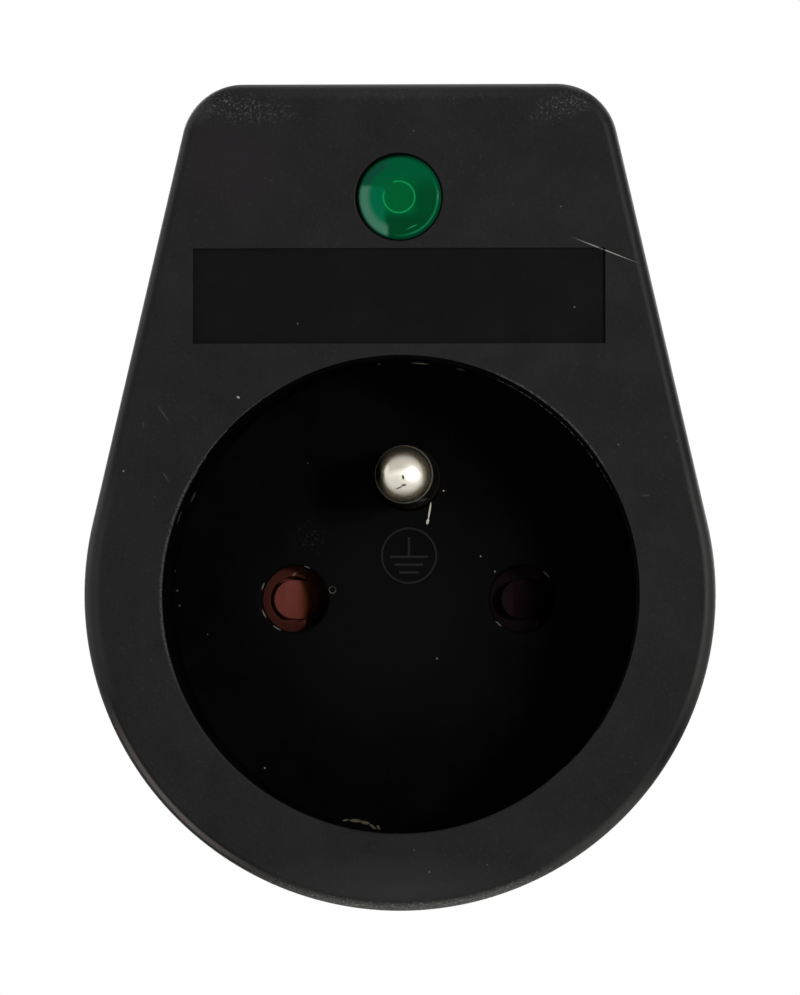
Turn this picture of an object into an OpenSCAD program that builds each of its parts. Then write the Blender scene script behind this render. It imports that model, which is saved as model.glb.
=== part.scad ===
// Plug-through surge protection adapter: a recessed socket with an earth pin in front, an
// indicator lens above it, and a two-pin plug with side earth clips behind.
// Each piece is drawn with X to the right, Y up and Z out of the front, and then stood up.
// The origin lies midway between the plug pins, on the end face of the plug nose.

/* [Body] */
// Radius of the body's round lower end, which is also half its width
body_r = 26; // [25.5:0.25:29]
// Height of the top edge above the socket's centre
top_h = 42; // [41:0.5:46]
// Lean of each straight side towards the top, in degrees
side_lean = 13.25; // [10:0.25:14]
// Radius of the two top corners
top_corner_r = 5.1; // [3:0.1:7]
// Depth of the body from its front face to its rear face
body_d = 36; // [35:0.5:42]
// Depth of the rear shell's side wall
rim_h = 6.5; // [6:0.25:9]
// Draft of the body's side walls, in degrees
draft = 2; // [0.5:0.25:2.5]
// Thickness of the moulded walls
wall = 1.8; // [1.5:0.1:2]
// Rounding of the front edge
front_round = 1; // [0.6:0.1:1.4]
// Rounding of the rear edge
rear_round = 0.8; // [0.4:0.1:1.2]
// Height of the tongue on the parting line
tongue_h = 1.5; // [1:0.1:2]
// Play between the tongue and its step
tongue_gap = 0.05; // [0.03:0.01:0.12]

/* [Socket] */
// Radius of the recess that takes a plug
recess_r = 19.5; // [19.25:0.05:20]
// Depth of the recess
recess_d = 15; // [14.5:0.25:16]
// Wall thickness round the recess
cup_wall = 1.8; // [1.4:0.1:2]
// Rounding of the recess's mouth
recess_lip = 0.2; // [0.1:0.05:0.4]
// Thickness of the recess's floor
floor_t = 2.2; // [1.8:0.1:2.6]
// Distance between the two pins of a plug
pin_spacing = 19; // [18.8:0.05:19.2]
// Radius of an entry hole
entry_r = 2.75; // [2.6:0.05:2.9]
// Chamfer of an entry hole
entry_chamfer = 0.3; // [0.1:0.05:0.5]
// Height of the earth pin above the line of the entry holes
earth_y = 10; // [9.8:0.1:10.4]
// Radius of the earth pin
earth_r = 2.4; // [2.3:0.02:2.46]
// Height of the earth pin above the recess's floor
earth_h = 11.6; // [11:0.1:13]
// Radius of the dome on the earth pin's end
earth_dome_r = 2.75; // [2.6:0.05:3.2]
// Radius that the earth pin's collar adds where it passes through the floor
earth_collar = 0.2; // [0.16:0.01:0.3]
// Gap round the earth pin's collar in the floor
earth_gap = 0.1; // [0.05:0.01:0.2]

/* [Indicator] */
// Height of the indicator lens above the socket's centre
lens_y = 32.9; // [32.4:0.1:33.6]
// Radius of the lens's face
lens_r = 3.4; // [3:0.05:3.8]
// Gap round the lens in the front wall
lens_gap = 0.2; // [0.1:0.05:0.3]
// Width of the lens's flange
lens_flange = 0.9; // [0.6:0.05:1.1]
// Thickness of the lens's flange
lens_flange_t = 1.2; // [0.8:0.1:1.4]
// Height of the crown on the lens
lens_crown = 0.3; // [0.1:0.05:0.5]
// Width of the bevel round the lens's face
lens_bevel = 0.2; // [0.1:0.05:0.3]
// Radius of the blind hole behind the lens
lens_bore_r = 1.3; // [1.1:0.05:1.5]

/* [Rating panel] */
// Width of the sunk panel
panel_w = 34.2; // [30:0.2:35]
// Height of the sunk panel
panel_h = 8; // [7:0.1:8.4]
// Height of the panel's middle above the socket's centre
panel_y = 24.7; // [24.5:0.1:25]
// Depth of the sunk panel
panel_d = 0.4; // [0.2:0.05:0.6]

/* [Plug] */
// Radius of the plug nose
nose_r = 18.5; // [18.3:0.05:18.7]
// Length of the plug nose
nose_d = 17.5; // [17:0.25:18]
// Thickness of the nose's end face
nose_face_t = 2.4; // [2.2:0.1:2.8]
// Rounding of the nose's end
nose_round = 1; // [0.5:0.1:1.2]
// Radius of a plug pin
plug_r = 2.4; // [2.3:0.02:2.4]
// Length of a plug pin beyond the nose
plug_l = 19; // [18.5:0.1:19.5]
// Radius that a plug pin's seat adds in the nose's end face
plug_seat = 0.2; // [0.16:0.01:0.3]
// Radius that a plug pin loses inside the nose
plug_waist = 0.4; // [0.2:0.05:0.6]
// Radius of the rear earth hole
earth_hole_r = 2.65; // [2.6:0.05:2.8]
// Width of the side keyways
key_w = 5.3; // [5:0.1:5.6]
// Depth of the side keyways
key_d = 2.5; // [2:0.1:2.6]
// Width of the grooves that hold the earth clips
groove_w = 9; // [8.4:0.1:9.6]
// Depth of the grooves that hold the earth clips
groove_d = 2.6; // [2.4:0.1:2.8]

/* [Earth parts] */
// Width of an earth clip
clip_w = 7; // [6:0.1:7.6]
// Thickness of an earth clip
clip_t = 0.8; // [0.6:0.05:0.9]
// Outward bow of an earth clip
clip_bow = 0.9; // [0.5:0.05:1]
// Room beyond the bow in the rear wall, where the clip gives
clip_room = 0.3; // [0.2:0.05:0.5]
// Width of the earth strap
strap_w = 6; // [5:0.1:6.4]
// Thickness of the earth strap
strap_t = 0.8; // [0.6:0.05:0.9]
// Wall thickness of the rear earth tube
tube_t = 0.5; // [0.4:0.05:0.6]

/* [Contacts] */
// Inner radius of a contact sleeve
sleeve_r = 2.4; // [2.38:0.01:2.46]
// Thickness of a contact sleeve's leaves
sleeve_t = 0.6; // [0.4:0.05:0.7]
// Arc of each leaf, in degrees
leaf_arc = 130; // [110:5:150]
// Flare at a contact sleeve's mouth
sleeve_flare = 0.5; // [0.3:0.05:0.55]
// Thickness of a contact's base
contact_t = 0.8; // [0.6:0.05:1]
// Radius of a contact's base
contact_r = 4.4; // [4.3:0.05:4.5]
// Wall of the towers round the contacts
tower_t = 0.9; // [0.8:0.05:1]

/* [Shutter] */
// Thickness of the shutter's plate
plate_t = 1.2; // [0.9:0.05:1.3]
// Half the width of the shutter's plate
plate_half = 4; // [3.6:0.1:4.2]
// Height of the bosses on the plate
boss_h = 1.5; // [1.2:0.05:1.8]
// Half the width of a boss
boss_half = 1.62; // [1.4:0.02:1.8]
// Reach of a boss to the left of its entry hole's middle
boss_lead = 1.84; // [1.6:0.02:2]
// Reach of a boss's ramp to the right of its entry hole's middle
ramp_reach = 2.7; // [2.5:0.05:2.9]
// Clearance above, below and beside the shutter
shutter_gap = 0.2; // [0.15:0.01:0.3]
// Gap between the carrier's far end and the body's side wall
carrier_gap = 0.41; // [0.3:0.01:0.8]
// Radius of the spring's wire
wire_r = 0.16; // [0.12:0.01:0.2]
// Middle radius of the spring's coils
coil_r = 1.2; // [1.1:0.02:1.26]
// Number of coils in the spring
coils = 7; // [5:1:8]

/* [Circuit] */
// Thickness of the circuit board
board_t = 1.6; // [1:0.2:2]
// Depth of the board's front side behind the body's front face
board_depth = 8.9; // [8.6:0.1:9.4]
// Height of the board's lower, wider part
board_low_h = 8.3; // [7.6:0.1:8.6]
// Gap between the board's lower part and the body's side walls
board_gap = 2.28; // [1.8:0.02:2.6]
// Gap between the board's upper part and the bosses of the top screws
board_neck_gap = 0.8; // [0.5:0.1:1]
// Diameter of a varistor
varistor_d = 12; // [10:0.2:12]
// Thickness of a varistor
varistor_t = 4.6; // [4:0.1:5]
// Outer radius of a lead's insulation
lead_r = 0.9; // [0.7:0.05:0.95]

/* [Screws] */
// Distance of a top screw inwards from the middle of its corner's rounding
screw_inset = 0.28; // [0:0.02:0.4]
// Distance of a top screw below the middle of its corner's rounding
screw_drop = 1.9; // [1.5:0.1:2.1]
// Distance of the nose screw below the socket's centre
nose_screw_y = 10; // [9.8:0.1:10.2]
// Radius of a screw's shank
screw_r = 1.4; // [1.2:0.05:1.5]
// Length of a screw's shank
screw_l = 15.4; // [13:0.2:16]
// Radius of a screw's head
head_r = 2.6; // [2.4:0.05:2.65]
// Height of a screw's head
head_h = 2; // [1.6:0.1:2.2]

/* [Hidden] */
$fn = 64;
eps = 0.01;

// Colours
black_plastic = [0.13, 0.13, 0.13];
lens_green = [0.0, 0.42, 0.22];
shutter_brown = [0.38, 0.17, 0.14];
nickel = [0.78, 0.78, 0.76];
brass = [0.80, 0.64, 0.32];
steel = [0.66, 0.67, 0.69];
carrier_grey = [0.72, 0.71, 0.68];
board_green = [0.10, 0.34, 0.18];
varistor_blue = [0.10, 0.24, 0.52];

// Levels along Z, from the nose's end face to the body's front face
rear_z = nose_d;
part_z = rear_z + rim_h;
front_z = rear_z + body_d;
floor_z = front_z - recess_d;
floor_back = floor_z - floor_t;
face_in = front_z - wall;
plate_in = rear_z + wall;

// The outline: the two top corners lie on the leaning sides
corner_y = top_h - top_corner_r;
corner_x = (body_r - top_corner_r - corner_y * sin(side_lean)) / cos(side_lean);
low_steps = 60;
corner_steps = 10;
round_steps = 5;
crown_steps = 6;
dome_steps = 12;

// Socket and contacts
pin_x = pin_spacing / 2;
cup_r = recess_r + cup_wall;
shutter_top = floor_back - shutter_gap;
plate_top = shutter_top - boss_h;
plate_low = plate_top - plate_t;
track_z = plate_low - shutter_gap;
pin_tip_room = 1;
rivet_head_t = 0.5;
rivet_rim = 0.6;
contact_top = floor_z - plug_l - pin_tip_room - rivet_head_t;
contact_z = contact_top - contact_t;
leaf_z = contact_top + 1.6;
mouth_t = 0.6;
mouth_gap = 0.1;
leaf_top = track_z - mouth_t - mouth_gap;
flare_z = leaf_top - 1.5;
pocket_r = sleeve_r + sleeve_t + sleeve_flare + 0.2;
tower_r = pocket_r + tower_t;
mouth_r = plug_r + 0.5;
tenon_r = 1.3;
pin_seat_r = plug_r + plug_seat;
pin_flange_r = 3.4;
pin_flange_t = 1.4;
pin_boss_gap = 0.1;
pin_boss_r = contact_r;
tag_half = 1.6;
tag_y = tower_r + 2.2;
tag_h = 5;

// Shutter
ramp_low = 0.2;
ramp_flat = 0.9;
pin_clear = 0.2;
travel = ramp_reach + plug_r + pin_clear;
stop_gap = 0.1;
end_block = 1;
end_block_gap = 0.32;
end_block_half = boss_half + 0.4;
slider_left = -(pin_x + boss_lead + end_block_gap + end_block);
slider_right = pin_x + ramp_reach;
window_left = -pin_x + ramp_reach;
window_right = -pin_x + plug_r + pin_clear + travel;
window_half = plug_r + 0.5;
spigot_r = coil_r - wire_r - 0.15;
spigot_l = 1.6;
spring_z = (track_z + floor_back) / 2;
track_half = plate_half + shutter_gap;
rail_t = 2;
carrier_half = track_half + rail_t;
carrier_end_t = 1.1;
carrier_stop_t = 1.7;
web_t = 2;
web_z = track_z - web_t;
carrier_reach = body_r - wall - draft_in(web_z) - carrier_gap;
carrier_left = -sqrt(carrier_reach * carrier_reach - carrier_half * carrier_half);
carrier_right = slider_right + stop_gap + carrier_stop_t;
spring_seat_x = carrier_left + carrier_end_t;

// Earth parts
tube_base_t = 0.8;
strap_z = rear_z + 0.3;
tab_z = strap_z - clip_t;
tube_base_z = strap_z - tube_base_t;
tube_r = earth_r + tube_t;
tube_base_r = tube_r + 0.3;
tube_boss_r = tube_base_r + 1.2;
tube_front = nose_face_t + 0.2;
slot_play = 0.15;
groove_floor = nose_r - groove_d;
groove_in = groove_floor - wall;
key_in = nose_r - key_d - wall;
side_room = key_in - pin_x - 0.05;
strap_reach = groove_floor + 0.1;
clip_in = groove_floor + 0.3;
clip_tab_in = groove_in + 0.4;
clip_hook_z = 1.2;
hook_l = 1.2;
pin_flange_earth_r = 3.5;
pin_flange_earth_t = 1.2;
strap_top_z = floor_back - pin_flange_earth_t;
earth_tail_r = 1.6;
earth_head_rim = 0.5;
earth_head_t = 0.6;
dome_edge = 0.07;
dome_edge_h = 0.75;

// Screws and their bosses
screw_x = corner_x - screw_inset;
screw_y = corner_y - screw_drop;
boss_r = 3.2;
tower_screw_r = head_r + 1.7;
head_play = 0.3;
seat_t = 2;
thread_play = 0.05;
shank_play = 0.2;
seat_gap = 0.05;
nose_seat = strap_z - seat_t - 0.2;
top_seat = rear_z + 3;
top_boss_z = top_seat + seat_t;
pilot_r = screw_r + thread_play;
pilot_spare = 3;

// Circuit board and its parts
board_front = front_z - board_depth;
board_back = board_front - board_t;
board_low = cup_r + 1;
board_step = board_low + board_low_h;
side_x = corner_x + top_corner_r * cos(side_lean)
    + (corner_y + top_corner_r * sin(side_lean) - board_step) * tan(side_lean);
board_half = side_x - (wall + draft_in(board_back)) / cos(side_lean) - board_gap;
board_neck_half = screw_x - boss_r - board_neck_gap;
board_top = lens_y + 5.8;
peg_x = 7;
peg_y = board_low + 1.9;
peg_r = 1.8;
peg_stub_r = 0.9;
stake_r = 1.4;
stake_t = 0.6;
hole_play = 0.1;
wire_out_r = 0.35;
wire_stub = 0.8;
wire_hole_r = 0.5;
solder_t = 0.6;
varistor_pitch = 5.6;
varistor_y = board_low + 2.7 + varistor_d / 2;
varistor_z = board_back - 1.5 - varistor_d / 2;
varistor_edge = 1.2;
varistor_wire_y = 3.75;
led_flange_r = 1.9;
led_r = 1.5;
led_flange_t = 1;
led_wire_x = 1.27;
lens_back = face_in - lens_flange_t;
led_top = lens_back - 0.2;
resistor_r = 1.6;
resistor_l = 8;
resistor_y = board_low + 3.6;
diode_r = 1.3;
diode_l = 5;
diode_y = lens_y + 4;
gas_r = 2.75;
gas_l = 5.6;
gas_x = board_half - gas_r - 0.25;
gas_y = board_low + 5.3;
fuse_r = 1.9;
fuse_l = 9;
fuse_x = board_half - fuse_r - 1.5;
fuse_y = board_low + 5.4;
fuse_bend_r = 1.3;
lead_x = board_half - 2 * lead_r;
lead_y = board_low + 1.1;
lead_steps = 4;

// Routes of the three insulated leads, each from its contact up to the board
lead_gap = 0.15;
tag_lead_y = tag_y + lead_r + lead_gap;
strap_lead_y = strap_reach + lead_r + lead_gap;
lead_rise = floor_back - contact_top;
lead_run = lead_y - tag_lead_y;
earth_rise = floor_back - strap_z;
live_route = [
    [pin_x, tag_lead_y, contact_top + 1],
    [pin_x, tag_lead_y, contact_top + 0.33 * lead_rise],
    [pin_x + 1, tag_lead_y + 0.13 * lead_run, contact_top + 0.55 * lead_rise],
    [lead_x - 0.5, tag_lead_y + 0.46 * lead_run, contact_top + 0.74 * lead_rise],
    [lead_x, tag_lead_y + 0.78 * lead_run, contact_top + 0.82 * lead_rise],
    [lead_x, lead_y, floor_back - 0.3],
    [lead_x, lead_y, board_back - 3],
    [lead_x, lead_y, board_back]
];
earth_route = [
    [0, strap_lead_y, strap_z + 0.18 * earth_rise],
    [0, strap_lead_y, strap_z + 0.5 * earth_rise],
    [0, strap_lead_y + 1.5, strap_z + 0.71 * earth_rise],
    [0, lead_y - 2.4, strap_z + 0.85 * earth_rise],
    [0, lead_y, floor_back + 0.2],
    [0, lead_y, board_back - 3],
    [0, lead_y, board_back]
];

// Stands a piece up: its Y becomes the object's height and its Z the way out of the front
module stood_up() {
    rotate([90, 0, 0]) children();
}

// Moves a child along Z only
module at_z(z) {
    translate([0, 0, z]) children();
}

function arc_points(cx, cy, r, from, to, steps) = [
    for (i = [0 : steps])
        let (a = from + (to - from) * i / steps)
        [cx + r * cos(a), cy + r * sin(a)]
];

// How far the draft draws the side wall in at a given level
function draft_in(z) = (front_z - z) * tan(draft);

// The body's outline, drawn in by a distance
module outline(inset) {
    r = top_corner_r - inset;
    polygon(concat(
        arc_points(corner_x, corner_y, r, side_lean, 90, corner_steps),
        arc_points(-corner_x, corner_y, r, 90, 180 - side_lean, corner_steps),
        arc_points(0, 0, body_r - inset, 180 - side_lean, 360 + side_lean, low_steps)
    ));
}

module outline_slice(z, inset) {
    at_z(z) linear_extrude(eps) outline(inset);
}

// A drafted solid of the outline between two levels, with a rounded edge at one end
module drafted_body(low_z, high_z, inset, high_round = 0, low_round = 0) {
    hull() {
        for (i = [0 : round_steps]) {
            a = 90 * i / round_steps;
            high = high_z - high_round * (1 - sin(a));
            low = low_z + low_round * (1 - sin(a));
            outline_slice(high - eps, inset + draft_in(high) + high_round * (1 - cos(a)));
            outline_slice(low, inset + draft_in(low) + low_round * (1 - cos(a)));
        }
    }
}

// A straight prism of the outline
module outline_prism(low_z, high_z, inset) {
    at_z(low_z) linear_extrude(high_z - low_z) outline(inset);
}

// Cuts its children off beside the inner walls of the keyways
module within_keyways(low_z, high_z) {
    intersection() {
        children();
        translate([-side_room, -body_r, low_z]) cube([2 * side_room, 2 * body_r, high_z - low_z]);
    }
}

module rod(x, y, low_z, high_z, r) {
    translate([x, y, low_z]) cylinder(r = r, h = high_z - low_z);
}

// Both copies of a shape, left and right of the middle plane
module both_sides(x) {
    for (side = [-1, 1])
        translate([side * x, 0, 0]) children();
}

// The cutter that rounds the mouth of a round hole at level z
module mouth_rounding(r, z, edge) {
    at_z(z) rotate_extrude() difference() {
        translate([r - eps, -edge]) square([edge + eps, edge + 1]);
        translate([r + edge, -edge]) circle(edge);
    }
}

module recess_cut() {
    rod(0, 0, floor_z, front_z + 1, recess_r);
    mouth_rounding(recess_r, front_z, recess_lip);
}

module entry_holes() {
    both_sides(pin_x) {
        rod(0, 0, floor_back - 1, floor_z + 1, entry_r);
        at_z(floor_z - entry_chamfer)
            cylinder(r1 = entry_r, r2 = entry_r + entry_chamfer + eps, h = entry_chamfer + eps);
    }
}

// Bosses behind the front wall: two for the top screws, one under the floor for the nose screw
module front_bosses() {
    both_sides(screw_x) rod(0, screw_y, top_boss_z + seat_gap, face_in + eps, boss_r);
    rod(0, -nose_screw_y, strap_z + strap_t + seat_gap, floor_back + eps, boss_r);
}

module front_pilot_holes() {
    top_end = top_seat + screw_l + pilot_spare;
    nose_end = nose_seat + screw_l + pilot_spare;
    both_sides(screw_x) rod(0, screw_y, top_boss_z - 1, top_end, pilot_r);
    rod(0, -nose_screw_y, strap_z, nose_end, pilot_r);
}

// Pegs that carry the board, with their ends melted over into heads
module board_pegs() {
    both_sides(peg_x) {
        rod(0, peg_y, board_front, face_in + eps, peg_r);
        rod(0, peg_y, board_back - eps, board_front + eps, peg_stub_r);
        rod(0, peg_y, board_back - stake_t, board_back, stake_r);
    }
}

module front_housing() {
    color(black_plastic) stood_up() difference() {
        union() {
            difference() {
                drafted_body(part_z, front_z, 0, high_round = front_round);
                drafted_body(part_z - 1, face_in, wall);
                outline_prism(part_z - 1, part_z + tongue_h + 0.1,
                    draft_in(part_z) + wall / 2);
            }
            rod(0, 0, floor_back, face_in + eps, cup_r);
            front_bosses();
            board_pegs();
        }
        recess_cut();
        entry_holes();
        rod(0, earth_y, floor_back - 1, floor_z + 1, earth_r + earth_collar + earth_gap);
        rod(0, lens_y, face_in - 1, front_z + 1, lens_r + lens_gap);
        translate([-panel_w / 2, panel_y - panel_h / 2, front_z - panel_d])
            cube([panel_w, panel_h, panel_d + 1]);
        front_pilot_holes();
    }
}

// The nose's outside: a round with its end rounded, two clip grooves and two keyways
module nose_outside() {
    difference() {
        rotate_extrude() union() {
            translate([0, nose_round]) square([nose_r, rear_z + wall - nose_round]);
            square([nose_r - nose_round, nose_round + eps]);
            translate([nose_r - nose_round, nose_round]) circle(nose_round);
        }
        for (side = [-1, 1]) {
            translate([-groove_w / 2, side > 0 ? groove_floor : -groove_floor - 5, -1])
                cube([groove_w, 5, rear_z + 1]);
            translate([side > 0 ? nose_r - key_d : -nose_r + key_d - 5, -key_w / 2, -1])
                cube([5, key_w, rear_z + 1]);
        }
    }
}

// The hollow of the nose, held back behind the grooves and keyways
module nose_hollow() {
    hollow_r = nose_r - wall;
    difference() {
        rod(0, 0, nose_face_t, rear_z + wall + 1, hollow_r);
        for (side = [-1, 1]) {
            translate([-groove_w / 2 - wall, side > 0 ? groove_in : -groove_in - 5, 0])
                cube([groove_w + 2 * wall, 5, rear_z + wall]);
            translate([side > 0 ? key_in : -key_in - 5, -key_w / 2 - wall, 0])
                cube([5, key_w + 2 * wall, rear_z + wall]);
        }
    }
}

// Tubes inside the nose: round the plug pins, the earth tube and the nose screw
module nose_bosses() {
    both_sides(pin_x) rod(0, 0, nose_face_t - eps, contact_z, pin_boss_r);
    rod(0, earth_y, nose_face_t - eps, tube_base_z - seat_gap, tube_boss_r);
    rod(0, -nose_screw_y, nose_face_t - eps, strap_z, tower_screw_r);
}

module nose_holes() {
    both_sides(pin_x) {
        rod(0, 0, -1, nose_face_t + 1, pin_seat_r);
        rod(0, 0, nose_face_t, contact_z + 1, pin_flange_r + pin_boss_gap);
    }
    rod(0, earth_y, -1, nose_face_t + 1, earth_hole_r);
    rod(0, earth_y, nose_face_t, rear_z, tube_base_r + 0.1);
    rod(0, -nose_screw_y, -1, nose_seat, head_r + head_play);
    rod(0, -nose_screw_y, nose_seat - 1, strap_z + 1, screw_r + shank_play);
}

// The slots by which an earth clip is hooked into the nose, drawn for the upper one
module clip_slots() {
    half = clip_w / 2 + slot_play;
    translate([-half, groove_in - 0.2, tab_z - slot_play / 2])
        cube([2 * half, clip_in + clip_t + clip_bow + clip_room - groove_in + 0.2,
            clip_t + strap_t + slot_play]);
    translate([-half, clip_in - hook_l - slot_play, clip_hook_z - slot_play])
        cube([2 * half, hook_l + 1, clip_t + 2 * slot_play]);
}

// The notch in the rear wall where the earth strap's leg goes up
module strap_leg_slot() {
    translate([-strap_w / 2 - slot_play, strap_reach - strap_t - slot_play, strap_z])
        cube([strap_w + 2 * slot_play, strap_t + 2 * slot_play, plate_in - strap_z + 1]);
}

// Room in the rim and its tongue for the bosses that come down from the front wall
module front_boss_room() {
    both_sides(screw_x)
        rod(0, screw_y, top_boss_z, part_z + tongue_h + 1, boss_r + 2 * seat_gap);
}

module rear_housing() {
    tongue_out = draft_in(part_z) + wall / 2 + tongue_gap;
    rim_in = draft_in(part_z) + wall;
    color(black_plastic) stood_up() difference() {
        union() {
            difference() {
                drafted_body(rear_z, part_z, 0, low_round = rear_round);
                outline_prism(plate_in, part_z + 1, rim_in);
                rod(0, 0, rear_z - 1, plate_in + 1, nose_r - wall);
            }
            difference() {
                outline_prism(part_z - eps, part_z + tongue_h, tongue_out);
                outline_prism(part_z - 1, part_z + tongue_h + 1, rim_in);
            }
            difference() {
                nose_outside();
                nose_hollow();
            }
            nose_bosses();
            both_sides(screw_x) rod(0, screw_y, plate_in - eps, top_boss_z, tower_screw_r);
        }
        nose_holes();
        clip_slots();
        rotate([0, 0, 180]) clip_slots();
        strap_leg_slot();
        front_boss_room();
        both_sides(screw_x) {
            rod(0, screw_y, rear_z - 1, top_seat, head_r + head_play);
            rod(0, screw_y, top_seat - 1, top_boss_z + 1, screw_r + shank_play);
        }
    }
}

// A round lens with a crowned and bevelled face, a flange behind the wall and a blind hole
module indicator_lens() {
    face_r = lens_r - lens_bevel;
    crown_r = (face_r * face_r + lens_crown * lens_crown) / (2 * lens_crown);
    crown_lean = asin(face_r / crown_r);
    lens_front = front_z + lens_crown / 2;
    bore_beyond_flange = 0.6;
    color(lens_green) stood_up() translate([0, lens_y, 0]) difference() {
        rotate_extrude() polygon(concat(
            [
                [0, lens_back],
                [lens_r + lens_flange, lens_back],
                [lens_r + lens_flange, face_in],
                [lens_r, face_in],
                [lens_r, lens_front - lens_crown - lens_bevel]
            ],
            arc_points(0, lens_front - crown_r, crown_r, 90 - crown_lean, 90, crown_steps)
        ));
        rod(0, 0, lens_back - 1, face_in + bore_beyond_flange, lens_bore_r);
    }
}

// The inner moulding: a tower round each contact, and a track for the shutter on top
module contact_carrier() {
    length = carrier_right - carrier_left;
    color(carrier_grey) stood_up() difference() {
        union() {
            translate([carrier_left, -carrier_half, web_z])
                cube([length, 2 * carrier_half, floor_back - web_z]);
            both_sides(pin_x) within_keyways(contact_top - 1, web_z + 2)
                rod(0, 0, contact_top, web_z + 1, tower_r);
        }
        translate([spring_seat_x, -track_half, track_z])
            cube([slider_right + stop_gap - spring_seat_x, 2 * track_half,
                floor_back - track_z + 1]);
        both_sides(pin_x) {
            rod(0, 0, contact_top - 1, track_z - mouth_t, pocket_r);
            rod(0, 0, track_z - mouth_t - 1, track_z + 1, mouth_r);
        }
    }
}

// One boss of the shutter, with a round left end; its right end is still square
module shutter_boss() {
    round_x = boss_half - boss_lead;
    at_z(plate_low) linear_extrude(plate_t + boss_h) union() {
        translate([round_x, 0]) circle(boss_half);
        translate([round_x, -boss_half]) square([ramp_reach + 1 - round_x, 2 * boss_half]);
    }
}

// The cutter for a ramp that a plug pin pushes on, through the boss and the plate
module ramp_cut() {
    slope = (shutter_top - plate_low - ramp_low) / (ramp_flat + ramp_reach);
    rotate([90, 0, 0]) at_z(-window_half) linear_extrude(2 * window_half) polygon([
        [-ramp_flat - 1 / slope, shutter_top + 1],
        [ramp_reach + 2, plate_low + ramp_low - 2 * slope],
        [ramp_reach + 2, shutter_top + 1]
    ]);
}

module shutter() {
    color(shutter_brown) stood_up() difference() {
        union() {
            translate([slider_left, -plate_half, plate_low])
                cube([slider_right + 1 - slider_left, 2 * plate_half, plate_t]);
            both_sides(pin_x) shutter_boss();
            translate([slider_left, -end_block_half, plate_low])
                cube([end_block, 2 * end_block_half, plate_t + boss_h]);
            translate([slider_left - spigot_l, 0, spring_z]) rotate([0, 90, 0])
                cylinder(r = spigot_r, h = spigot_l + end_block / 2);
        }
        translate([window_left, -window_half, plate_low - 1])
            cube([window_right - window_left, 2 * window_half, plate_t + boss_h + 2]);
        translate([slider_right, -plate_half - 1, plate_low - 1])
            cube([5, 2 * plate_half + 2, plate_t + boss_h + 2]);
        both_sides(pin_x) ramp_cut();
    }
}

function unit(v) = v / norm(v);

// The direction of a path at one of its points
function heading(path, i) = unit(path[min(i + 1, len(path) - 1)] - path[max(i - 1, 0)]);

// A round rod of the given radius swept along a path that never runs along X
module swept(path, r, sides = 8) {
    last = len(path) - 1;
    points = [
        for (i = [0 : last])
            let (t = heading(path, i), u = unit(cross(t, [1, 0, 0])), v = cross(t, u))
            for (j = [0 : sides - 1])
                path[i] + r * (cos(360 * j / sides) * u + sin(360 * j / sides) * v)
    ];
    walls = [
        for (i = [0 : last - 1])
            for (j = [0 : sides - 1])
                let (k = (j + 1) % sides)
                [i * sides + j, i * sides + k, (i + 1) * sides + k, (i + 1) * sides + j]
    ];
    start_cap = [for (j = [sides - 1 : -1 : 0]) j];
    end_cap = [for (j = [0 : sides - 1]) last * sides + j];
    polyhedron(points, concat([start_cap], walls, [end_cap]), convexity = 6);
}

// The compression spring between the carrier's end wall and the shutter
module shutter_spring() {
    steps = 16;
    low = spring_seat_x + wire_r;
    high = slider_left - wire_r;
    path = [
        for (i = [0 : coils * steps])
            let (t = i / steps)
            [low + (high - low) * t / coils,
                coil_r * cos(360 * t),
                spring_z + coil_r * sin(360 * t)]
    ];
    color(steel) stood_up() swept(path, wire_r);
}

// The socket's earth pin: a turned pin with a domed end, a flange and a riveted tail
module earth_pin() {
    tip = floor_z + earth_h;
    dome_lean = asin((earth_r - dome_edge) / earth_dome_r);
    side_top = tip - earth_dome_r * (1 - cos(dome_lean)) - dome_edge_h;
    strap_low = strap_top_z - strap_t;
    color(nickel) stood_up() translate([0, earth_y, 0]) union() {
        rotate_extrude() polygon(concat(
            [[0, floor_z - eps], [earth_r, floor_z - eps], [earth_r, side_top]],
            arc_points(0, tip - earth_dome_r, earth_dome_r, 90 - dome_lean, 90, dome_steps)
        ));
        rod(0, 0, floor_back - eps, floor_z, earth_r + earth_collar);
        rod(0, 0, strap_top_z, floor_back, pin_flange_earth_r);
        rod(0, 0, strap_low - eps, strap_top_z + eps, earth_tail_r);
        rod(0, 0, strap_low - earth_head_t, strap_low, earth_tail_r + earth_head_rim);
    }
}

// A strip folded into three legs: up to the earth pin, along the side, and across the nose
module earth_strap() {
    top_in = earth_y - pin_flange_earth_r;
    strap_low = strap_top_z - strap_t;
    color(brass) stood_up() difference() {
        union() {
            translate([-strap_w / 2, top_in, strap_low])
                cube([strap_w, strap_reach - top_in, strap_t]);
            translate([-strap_w / 2, strap_reach - strap_t, strap_z])
                cube([strap_w, strap_t, strap_top_z - strap_z]);
            translate([-strap_w / 2, -strap_reach, strap_z])
                cube([strap_w, 2 * strap_reach, strap_t]);
        }
        rod(0, earth_y, strap_low - 1, strap_top_z + 1, earth_tail_r);
        rod(0, earth_y, strap_z - 1, strap_z + strap_t + 1, tenon_r);
        rod(0, -nose_screw_y, strap_z - 1, strap_z + strap_t + 1, screw_r + shank_play);
    }
}

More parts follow.
